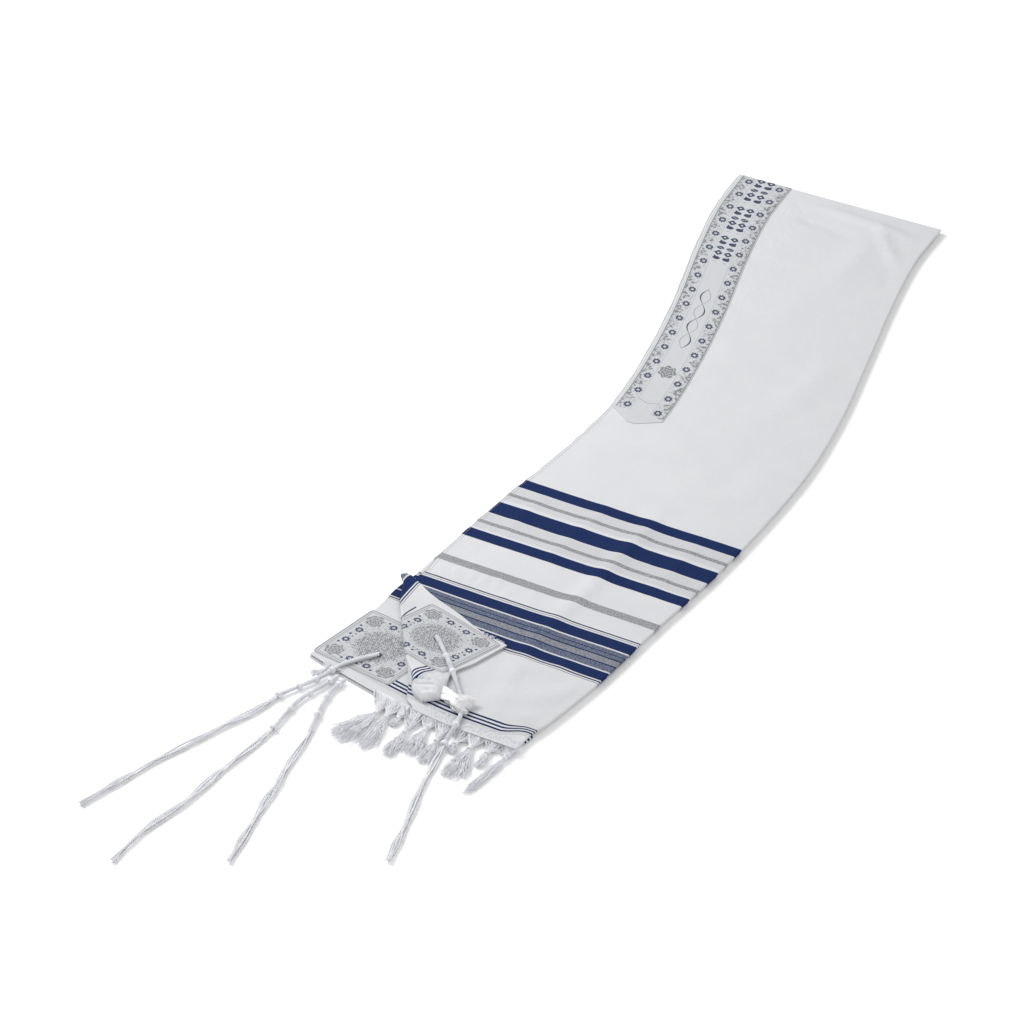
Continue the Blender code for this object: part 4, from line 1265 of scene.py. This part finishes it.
def band_border(paint, side, along):
    """The grey scrolls and the navy rosettes of the two borders."""
    cell = (along - FIRST_ROSETTE + ROSETTE_PITCH / 2).repeat(ROSETTE_PITCH)
    between = (abs(cell) / (ROSETTE_PITCH / 2)).power(1.7) * (9.0 * MM)
    fan = (1.8 * MM + between - (BORDER_OUTSIDE - side)) * 1200.0
    fan = fan.held() * side.inside(BORDER_OUTSIDE, 0.0004)
    blots = ((paint.noise(paint.object_place(), 3.4 * MM, 3.0) - 0.49) * 11.0).held()
    scrolls = fan * (blots + 0.22) + side.band(0.0135, BORDER_OUTSIDE) * blots * 0.4
    rosettes = flower(side - BORDER_MIDDLE, cell, radius=2.9 * MM, petals=8, line=2.5 * MM)
    return scrolls * side.band(0.0125, 2.0), rosettes


def band_chain(x, along):
    """The navy and the grey wave that cross each other."""
    on_chain = along.band(CHAIN_STARTS, CHAIN_ENDS)
    swing = ((along - CHAIN_STARTS) * (pi / CHAIN_LINK)).sin()
    wave = swing * 5.6 * MM
    thick = 0.25 * MM + abs(swing) * 0.55 * MM
    navy = ((thick - abs(x - wave)) / 0.0004 + 0.5).held() * on_chain
    return (x + wave).inside(0.35 * MM, 0.0004) * on_chain, navy


def band_figures(x, side, along):
    """Two rows of lozenges, leaves and blossoms, in groups."""
    rows = side - 5.6 * MM
    step = along.repeat(FIGURE_PITCH)
    kind = (along.cell(FIGURE_PITCH) + x.math("SIGN") * 1.5).math("MODULO", 3.0)
    lozenge = ((abs(rows) / 5.2 + abs(step) / 4.7) / MM).band(0.32, 1.0, 0.12)
    leaves = []
    for lean in (1.0, -1.0):
        slant = (rows + step * lean, step - rows * (0.45 * lean))
        leaves.append(((slant[0] / 5.2).power(2) + (slant[1] / 3.3).power(2)) / (MM * MM))
    leaf = leaves[0].inside(1.0, 0.15) * (1 - (rows * 0.45 - step).inside(0.3 * MM, 0.0003))
    blossom = leaves[1].inside(1.0, 0.15) + disc(rows - 2.6 * MM, step - 3.0 * MM, 1.2 * MM)
    first = kind.inside(0.75, 0.01)
    second = kind.band(0.76, 1.75, 0.01)
    figures = lozenge * first + leaf * second + blossom * (1 - first - second).held()
    word_gap = (along - FIGURES_START).repeat(WORD_PITCH).inside(0.43 * WORD_PITCH, 0.0003)
    return figures * along.band(FIGURES_START, 2.0) * word_gap * side.band(1.0 * MM, 10.4 * MM)


def paint_band(name):
    paint = Paint(name, Sheen_Weight=0.2, Specular_IOR_Level=0.35)
    across, along = paint.place_uv("cut")
    x = across - BAND_WIDTH / 2
    side = abs(x)
    past_point = along.band(0.018, 2.0)
    scrolls, rosettes = band_border(paint, side, along)
    grey = side.band(BORDER_OUTSIDE, 0.0272) + side.band(0.0114, 0.0120, 0.0003) * 0.45 + scrolls
    # The end of the band is pointed, and a fine line follows the point.
    shallow = (along - 0.036 - side * 0.35).inside(0.35 * MM, 0.0004) * side.inside(0.0115, 0.001)
    emblem = rose(x * 1.05, along - EMBLEM_AT, radius=11.0 * MM)
    chain_grey, chain_navy = band_chain(x, along)
    grey = grey * past_point + shallow * 0.8 + emblem * 1.6 + chain_grey * 0.8
    navy = rosettes * past_point + chain_navy + band_figures(x, side, along)
    return satin(paint, across, along, grey.held(), navy.held())


satin_band = paint_band("woven_satin_neckband")

# %% [markdown]
# ## The neckband
# The atara is a long strip of satin sewn along the neck edge, with a pointed end, and it goes over
# the cross fold with the cloth. So it is made on the flat cut, a little off its face, and folded
# by the same rule as the cloth.

# %% Sew on the neckband
BAND_EDGE = 4.6 * MM
BAND_STARTS = 0.484
BAND_POINT = 15 * MM
BAND_WALL = 0.4 * MM
BAND_LIFT = CLOTH_WALL / 2 + 0.3 * MM
band_across = np.linspace(0, BAND_WIDTH, 29)[None, :]
BAND_TO_FOLD = CROSS_FOLD_AT - BAND_STARTS
band_along = np.concatenate([np.linspace(0, BAND_TO_FOLD, 170)[:-1],
                             np.linspace(BAND_TO_FOLD, BAND_TO_FOLD + CROSS_ARC * 0.9, 14)])[:, None]
band_u, band_v = np.broadcast_arrays(band_across, band_along)
off_centre = np.abs(band_u / BAND_WIDTH * 2 - 1)
point = np.clip(off_centre - 0.14, 0, 1) / 0.86 * BAND_POINT * near_edge(band_v, 0.06)


def band_at(lift):
    """The neckband's points, at a height off the middle of the cloth's wall."""
    return lie(band_u + BAND_EDGE, band_v + BAND_STARTS + point, lift=lift)


band_cut = np.stack([band_u, band_v + point], axis=-1)
neckband = cloth_object("neckband_atara", band_at(BAND_LIFT), band_cut, BAND_WALL, satin_band)

# %% [markdown]
# ## Stitches
# The squares and the neckband are topstitched, and the cloth's ends are hemmed. A stitch is a
# small capsule repeated along a line, which is what Geometry Nodes do best: the guide is resampled
# to the stitch length, and a capsule is set on each point, turned along the guide.

# %% Sew the seams
stitch_tree, STITCH_INPUTS = tree_with_inputs("stitches along guides", {
    "Stitch pitch": "NodeSocketFloat", "Stitch length": "NodeSocketFloat",
    "Thread radius": "NodeSocketFloat", "Material": "NodeSocketMaterial"})
entry = add_node(stitch_tree, "NodeGroupInput")
line = add_node(stitch_tree, "GeometryNodeMeshToCurve", links={"Mesh": entry.outputs["Guides"]})
marks = add_node(stitch_tree, "GeometryNodeCurveToPoints", {"mode": "LENGTH"},
                 links={"Curve": line.outputs[0], "Length": entry.outputs["Stitch pitch"]})
capsule = add_node(stitch_tree, "GeometryNodeMeshUVSphere", values={"Segments": 6, "Rings": 4},
                   links={"Radius": entry.outputs["Thread radius"]})
stretch = add_node(stitch_tree, "ShaderNodeMath", {"operation": "DIVIDE"},
                   links={0: entry.outputs["Stitch length"], 1: entry.outputs["Thread radius"]})
half_stretch = add_node(stitch_tree, "ShaderNodeMath", {"operation": "MULTIPLY"},
                        links={0: stretch.outputs[0]}, values={1: 0.5})
scale = add_node(stitch_tree, "ShaderNodeCombineXYZ", values={"X": 1.0, "Y": 1.0},
                 links={"Z": half_stretch.outputs[0]})
sewn = add_node(stitch_tree, "GeometryNodeInstanceOnPoints",
                links={"Points": marks.outputs["Points"], "Instance": capsule.outputs[0],
                       "Rotation": marks.outputs["Rotation"], "Scale": scale.outputs[0]})
close_tree(stitch_tree, sewn.outputs[0], entry)


def stitches(name, lines, pitch, length, radius=0.16 * MM):
    """A seam: white stitches of a length, one every pitch along the lines."""
    guides = guide_lines(name, lines)
    values = {STITCH_INPUTS["Stitch pitch"]: pitch, STITCH_INPUTS["Stitch length"]: length,
              STITCH_INPUTS["Thread radius"]: radius, STITCH_INPUTS["Material"]: white_thread}
    made = grown(guides, stitch_tree, values)
    print(f"{name}: {len(made.data.polygons)} faces")
    return made


# A dark navy yarn, used only for the painted crease shade beside the turned corner's fold.
crease_shade_thread = paint_yarn("crease_shade_thread", (0.035, 0.050, 0.110), (0.015, 0.025, 0.070))
white_thread = paint_yarn("white_sewing_thread", (0.74, 0.74, 0.76), (0.52, 0.53, 0.58))


def border_of(places, inset, raise_by):
    """The line that runs round a grid, a few rows in from its rim."""
    inner = places[inset:-inset, inset:-inset] + np.array((0, 0, raise_by))
    return np.vstack([inner[0], inner[1:, -1], inner[-1, -2::-1], inner[-2:0:-1, 0]])


turned_places = wrap(turned_plan, lift=SQUARE_LIFT + SQUARE_WALL / 2)
square_seams = [border_of(left_places, 1, SQUARE_WALL / 2), border_of(turned_places, 1, 0.0)]
square_stitches = stitches("square_stitches", square_seams, pitch=2.6 * MM, length=1.7 * MM)
band_face = band_at(BAND_LIFT + BAND_WALL / 2)
band_seams = [band_face[:, 1], band_face[:, -2], band_face[2, 1:-1]]
band_stitches = stitches("neckband_stitches", band_seams, pitch=2.8 * MM, length=1.8 * MM)
hem_u = np.linspace(0.16, HALF_WIDTH - 3 * MM, 60)
side_v = np.linspace(0.20, CROSS_FOLD_AT, 240)
hem_line = lie(hem_u, np.full_like(hem_u, 0.0075), lift=CLOTH_WALL / 2)
hem_line = hem_line[hem_line[:, 0] > -0.004]
selvedge = lie(np.full_like(side_v, 1.8 * MM), side_v, lift=CLOTH_WALL / 2)
cloth_stitches = stitches("hem_stitches", [hem_line, selvedge], pitch=2.4 * MM, length=1.5 * MM,
                          radius=0.15 * MM)

# %% [markdown]
# ## A line of navy thread
# Beside its fold the turned corner shows one short dark line that the stripes don't explain: the
# shade along a fine crease. It is painted in as a dark navy thread laid on the cloth's face.

# %% Lay the thread of painted crease shade
thread_plan = smooth_line(((-0.0932, -0.3262), (-0.0922, -0.3160), (-0.0886, -0.3052)), 1 * MM)
thread_line = wrap(thread_plan, lift=0.5 * MM)
crease_shade_line = yarns("crease_shade_line", [thread_line], 0.62 * MM, sides=6, finish=crease_shade_thread)

# %% [markdown]
# ## Eyelets
# Each tassel goes through an eyelet, a hole worked round with thread. It is a ring of closely
# set stitches round a small dark well, so it is made from short radial strands.

# %% Work the eyelets
eyelet_thread = paint_yarn("dark_eyelet_thread", (0.16, 0.17, 0.20), (0.06, 0.06, 0.08))
EYELET_RADIUS = 2.3 * MM
EYELET_STRANDS = 26
# A strand's points: how far out, as a share of the radius, and how high, in mm.
EYELET_PROFILE = ((0.45, -0.2), (0.6, 0.28), (1.0, 0.36), (1.35, 0.1))


def eyelet_strands(centre, height):
    """The radial strands of one eyelet."""
    middle = np.array((*centre, height))
    up = np.array((0, 0, 1))
    lines = []
    for k in range(EYELET_STRANDS):
        angle = 2 * pi * k / EYELET_STRANDS
        way = np.array((cos(angle), sin(angle), 0))
        strand = [middle + way * EYELET_RADIUS * out + up * rise * MM for out, rise in EYELET_PROFILE]
        lines.append(np.array(strand))
    return lines


def flap_top_at(x, y):
    """The height of the turned corner's upper face at one point."""
    return float(flap_top(np.array([x]), np.array([y]))[0])


left_eyelet_height = lower_face + SQUARE_WALL + 0.1 * MM
turned_eyelet_height = flap_top_at(*TURNED_EYELET) + SQUARE_LIFT + SQUARE_WALL / 2
eyelet_lines = eyelet_strands(LEFT_EYELET, left_eyelet_height)
eyelet_lines += eyelet_strands(TURNED_EYELET, turned_eyelet_height)
eyelets = yarns("eyelet_threads", eyelet_lines, 0.22 * MM, sides=4, finish=eyelet_thread)

# %% [markdown]
# ## The fringe
# The warp threads run out past the hem and are knotted in bunches. Each bunch starts as a few
# loose groups of threads, draws together in a knot, and is brushed out below it. The knots and
# ends come from a table, and the threads of a bunch are spread by seeded random numbers.

# %% Knot the fringe
TOP_FACE = UPPER.middle + UPPER.radius + CLOTH_WALL / 2
Bunch = namedtuple("Bunch", "root_x knot_x knot_y tip_x tip_y spread")
FRINGE = (
    Bunch(-0.1190, -0.1230, -0.4190, -0.1310, -0.4270, 0.008),
    Bunch(-0.0560, -0.0505, -0.4480, -0.0680, -0.4960, 0.026),
    Bunch(-0.0440, -0.0400, -0.4490, -0.0385, -0.4960, 0.018),
    Bunch(-0.0300, -0.0295, -0.4450, -0.0315, -0.4560, 0.007),
    Bunch(-0.0180, -0.0150, -0.4590, -0.0160, -0.4950, 0.012),
    Bunch(-0.0020, -0.0005, -0.4480, 0.0020, -0.4845, 0.019),
    Bunch(0.0130, 0.0160, -0.4560, 0.0175, -0.4890, 0.011),
    Bunch(0.0330, 0.0330, -0.4510, 0.0355, -0.4640, 0.007),
    Bunch(0.0460, 0.0475, -0.4510, 0.0515, -0.4950, 0.023),
    Bunch(0.0640, 0.0640, -0.4490, 0.0655, -0.4700, 0.007),
    Bunch(0.0800, 0.0815, -0.4480, 0.0705, -0.5057, 0.007),
)
FRINGE_YARN = 0.36 * MM
ROOT_SPREAD = 5.4 * MM
# The heights of the four layers' ends, in mm, and the share of the yarns that start at each.
LAYER_LEVELS = (0.9, 2.4, 3.9, 5.6)
LAYER_SHARES = (0.14, 0.18, 0.26, 0.42)
# Right of here some yarns start on the top face and hang over the hem.
OVER_HEM_FROM = -0.010
OVER_HEM_SHARE = 0.36


def crimp(line, size, phase):
    """The line with the small waves that a yarn keeps after it is untwisted."""
    reach = np.arange(len(line)) * np.linalg.norm(line[1] - line[0])
    waves = np.column_stack([np.sin(reach * 820 + phase), np.sin(reach * 690 + phase * 2), 0 * reach])
    return line + waves * size * np.clip(reach / 0.006, 0, 1)[:, None]


def knot_turns(knot, run, side):
    """Three rings round a bunch, side by side."""
    angle = np.linspace(0, 2 * pi, 15)
    turns = []
    for k in range(3):
        lean = run * (k - 1) * 1.1 * MM + run * 0.5 * MM * np.cos(angle)[:, None]
        ring_line = knot + lean + side * (2.1 * MM * np.cos(angle))[:, None]
        turns.append(ring_line + np.array((0, 0, 1)) * (1.75 * MM * np.sin(angle))[:, None])
    return turns


def bunch_lines(row, random):
    """Guide lines of one bunch: its yarns, and the turns of its knot."""
    lines = []
    count = int(44 + row.spread * 2300)
    knot = np.array((row.knot_x, row.knot_y, 2.9 * MM))
    tip = np.array((row.tip_x, row.tip_y, 1.2 * MM))
    run = tip - knot
    run[2] = 0
    length = np.hypot(*run[:2])
    run /= length
    side = np.array((-run[1], run[0], 0))
    for _ in range(count):
        root_x = row.root_x + random.normal(0, ROOT_SPREAD)
        root_y = float(near_sweep(np.array(root_x))) + NEAR_END
        level = random.choice(LAYER_LEVELS, p=LAYER_SHARES) * MM
        root = np.array((root_x, root_y + 1.5 * MM, level))
        if row.root_x > OVER_HEM_FROM and random.uniform() < OVER_HEM_SHARE:
            root += np.array((random.normal(0, 3 * MM), random.uniform(1, 11) * MM, 0))
            root[2] = TOP_FACE + 0.6 * MM
        # A yarn's place in the fan decides which way it goes and how long it looks.
        place = random.uniform(-1, 1)
        fan = place * row.spread * 0.56
        reach = length * (random.uniform(0.80, 1.03) - 0.12 * place**2)
        sway = random.normal(0, 1.4 * MM, 3)
        height = random.uniform(0.5, 3.4, 4) * MM
        in_knot = knot + side * random.normal(0, 0.7 * MM) + np.array((0, 0, random.normal(0, 0.6 * MM)))
        before = root * 0.45 + in_knot * 0.55 + side * random.normal(0, 0.9 * MM)
        before[2] = 2.4 * MM + random.uniform(-1, 1) * MM
        ways = [root, before, in_knot]
        for k, t in enumerate((0.35, 0.7, 1.0)):
            way = knot + run * reach * t + side * (fan * t**0.8 + sway[k])
            way[2] = height[k] * (1 - 0.35 * k / 2)
            ways.append(way)
        lines.append(crimp(smooth_line(ways, 1.7 * MM), 0.4 * MM, random.uniform(0, 2 * pi)))
    return lines, knot_turns(knot, run, side)


def fringe_bunch(name, row, seed):
    random = np.random.default_rng(seed)
    lines, turns = bunch_lines(row, random)
    parts = [yarns(name + "_yarns", lines, FRINGE_YARN, sides=4, taper_end=0.5),
             yarns(name + "_knot", turns, 0.62 * MM, sides=6)]
    return join(name, parts)


fringe = [fringe_bunch(f"fringe_bunch_{k:02d}", row, 100 + k) for k, row in enumerate(FRINGE, 1)]

# %% [markdown]
# ## The bunch on top
# The turned corner carries a bunch of its own. It comes out of the roll's end, lies across the
# top face, and fans out to the right. Its yarn is painted whiter than the rest, as painted light
# on a bunch that lies in the light. It has no hem or knot to start from, so its yarns follow a
# short table of stages: where the middle of the bunch is, how high and how wide. Most of its yarns lie in
# a loose upper layer.

# %% Lay the bunch that the turned corner carries
# A lit copy of the yarn, painted lighter: a painted highlight for the bunch that lies in the light.
painted_lit_yarn = paint_yarn("painted_lit_white_yarn", (0.95, 0.95, 0.96), (0.88, 0.88, 0.90))
# Each stage: x and y, then the height over the top face, the half width and the loft, in mm.
Stage = namedtuple("Stage", "x y height half_width loft")
TURNED_BUNCH = (
    Stage(-0.0130, -0.3985, 5.0, 3.4, 0),
    Stage(-0.0040, -0.4035, 3.8, 4.4, 1.2),
    Stage(0.0045, -0.4070, 3.4, 4.8, 3.4),
    Stage(0.0110, -0.4095, 3.2, 6.6, 5.0),
    Stage(0.0185, -0.4095, 2.8, 9.6, 4.6),
    Stage(0.0275, -0.4075, 2.0, 11.0, 1.6),
)
ROUND_STAGES = 3


def turned_bunch():
    random = np.random.default_rng(77)
    lines = []
    for _ in range(190):
        place = random.uniform(-1, 1)
        level = random.uniform(-1, 1)
        phase = random.uniform(0, 2 * pi)
        lofty = random.uniform() < 0.70
        ways = []
        for k, stage in enumerate(TURNED_BUNCH):
            # The first stages are round and the yarns twist in them; the last ones are flat.
            if k < ROUND_STAGES:
                twist = place * cos(k * 0.9) + level * sin(k * 0.9)
                side = np.array((0.45, 0.89, 0))
            else:
                twist = place
                side = np.array((0.12, 0.99, 0))
            way = np.array((stage.x, stage.y, TOP_FACE + stage.height * MM))
            way += side * twist * stage.half_width * MM
            way[2] += level * 1.3 * MM + random.normal(0, 0.25 * MM) + lofty * stage.loft * MM
            way[:2] += random.normal(0, 0.5 * MM, 2)
            way[2] = max(way[2], TOP_FACE + 0.5 * MM)
            ways.append(way)
        # The yarns end at different lengths.
        ways[-1] = ways[-2] + (ways[-1] - ways[-2]) * random.uniform(0.35, 1.05)
        lines.append(crimp(smooth_line(ways, 1.3 * MM), 0.35 * MM, phase))
    return yarns("fringe_bunch_turned", lines, FRINGE_YARN, sides=4, finish=painted_lit_yarn, taper_end=0.5)


fringe_turned = turned_bunch()

# %% [markdown]
# ## A frayed edge
# By the turned corner's tip the long free edge is worn, and short threads stand out of it. They
# are made one by one, at random places along that stretch of the edge.

# %% Fray the turned corner's edge
FRAYED_STRETCH = (0.80, 0.985)


def frayed_threads():
    random = np.random.default_rng(5)
    edge = smooth_line(LONG_FREE_EDGE, 1 * MM)
    lines = []
    for _ in range(46):
        t = random.uniform(*FRAYED_STRETCH)
        x, y = edge[int(t * (len(edge) - 1))]
        way = np.array((random.uniform(0.1, 0.9), random.uniform(0.4, 1.0), 0))
        way = way * random.uniform(1.5, 4.5) * MM
        start = np.array((x, y - 0.5 * MM, flap_top_at(x, y) + 0.2 * MM))
        bend = start + way * 0.6 + np.array((0, 0, random.uniform(0.0, 1.0) * MM))
        end = start + way + np.array((0, 0, random.uniform(-1.2, 0.2) * MM))
        lines.append(smooth_line([start, bend, end], 0.8 * MM))
    return yarns("frayed_threads", lines, 0.22 * MM, sides=4, taper_end=0.4)


frayed = frayed_threads()

# %% [markdown]
# ## Joining the pieces to the frame
# Nothing on the cloth turns on a joint, so every piece rides on the one body, and the solids that
# a piece stands for are hidden.

# %% Ride and replace
def place_piece(piece, slot, *nodes):
    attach(piece, "root")
    if nodes:
        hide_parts(*nodes)


place_piece(upper, "striped_cloth", "cloth_top_layer")
place_piece(lower, "striped_cloth", "cloth_folded_layers")
place_piece(flap, "striped_cloth", "cloth_turned_corner")
place_piece(flap_lining, "striped_cloth")
place_piece(left_square, "printed_square", "corner_square_left")
place_piece(turned_square, "printed_square", "corner_square_turned")
place_piece(neckband, "printed_band", "neckband")
place_piece(square_stitches, "printed_square")
place_piece(band_stitches, "printed_band")
place_piece(cloth_stitches, "striped_cloth")
place_piece(crease_shade_line, "striped_cloth")
place_piece(eyelets, "printed_square")
place_piece(frayed, "fringe_yarn")
for number, bunch in enumerate(fringe, 1):
    place_piece(bunch, "fringe_yarn", f"fringe_{number:02d}")
place_piece(fringe_turned, "fringe_yarn", "fringe_on_top")
print("fringe bunches joined to the frame:", len(fringe) + 1)

# %% [markdown]
# ## Floor and light
# White cloth on a white floor shows its folds only by gentle shading. A large soft light from the
# upper left gives the creases a side, and an even white surround keeps the shadows pale.

# %% Make the floor and the lights
floor_paint = Paint("pale_floor", Specular_IOR_Level=0.1, Roughness=0.95)
floor_paint.shader.inputs["Base Color"].default_value = (0.95, 0.95, 0.95, 1)
bpy.ops.mesh.primitive_plane_add(size=12, location=(0, 0, -0.0006))
floor = bpy.context.active_object
floor.name = "floor"
floor.data.materials.append(floor_paint.material)

world = bpy.data.worlds.new("soft_white_surround")
world.use_nodes = True
world.node_tree.nodes["Background"].inputs["Color"].default_value = (1.0, 1.0, 1.0, 1)
world.node_tree.nodes["Background"].inputs["Strength"].default_value = 0.62
bpy.context.scene.world = world


def soft_light(name, place, aim, size, power):
    """A round area light at a place, turned to an aim, with its width in metres and its watts."""
    data = bpy.data.lights.new(name, "AREA")
    data.shape = "DISK"
    data.size = size
    data.energy = power
    lamp = bpy.data.objects.new(name, data)
    bpy.context.scene.collection.objects.link(lamp)
    lamp.location = place
    lamp.rotation_mode = "QUATERNION"
    lamp.rotation_quaternion = (Vector(aim) - Vector(place)).to_track_quat("-Z", "Y")
    print(f"{name}: {power} W, {size} m wide")


soft_light("key_light", place=(-1.2, 0.1, 1.15), aim=(0, 0, 0), size=1.0, power=26)
soft_light("fill_light", place=(1.6, -1.0, 1.6), aim=(0, -0.1, 0), size=2.0, power=15)
bpy.context.scene.view_settings.view_transform = "Standard"
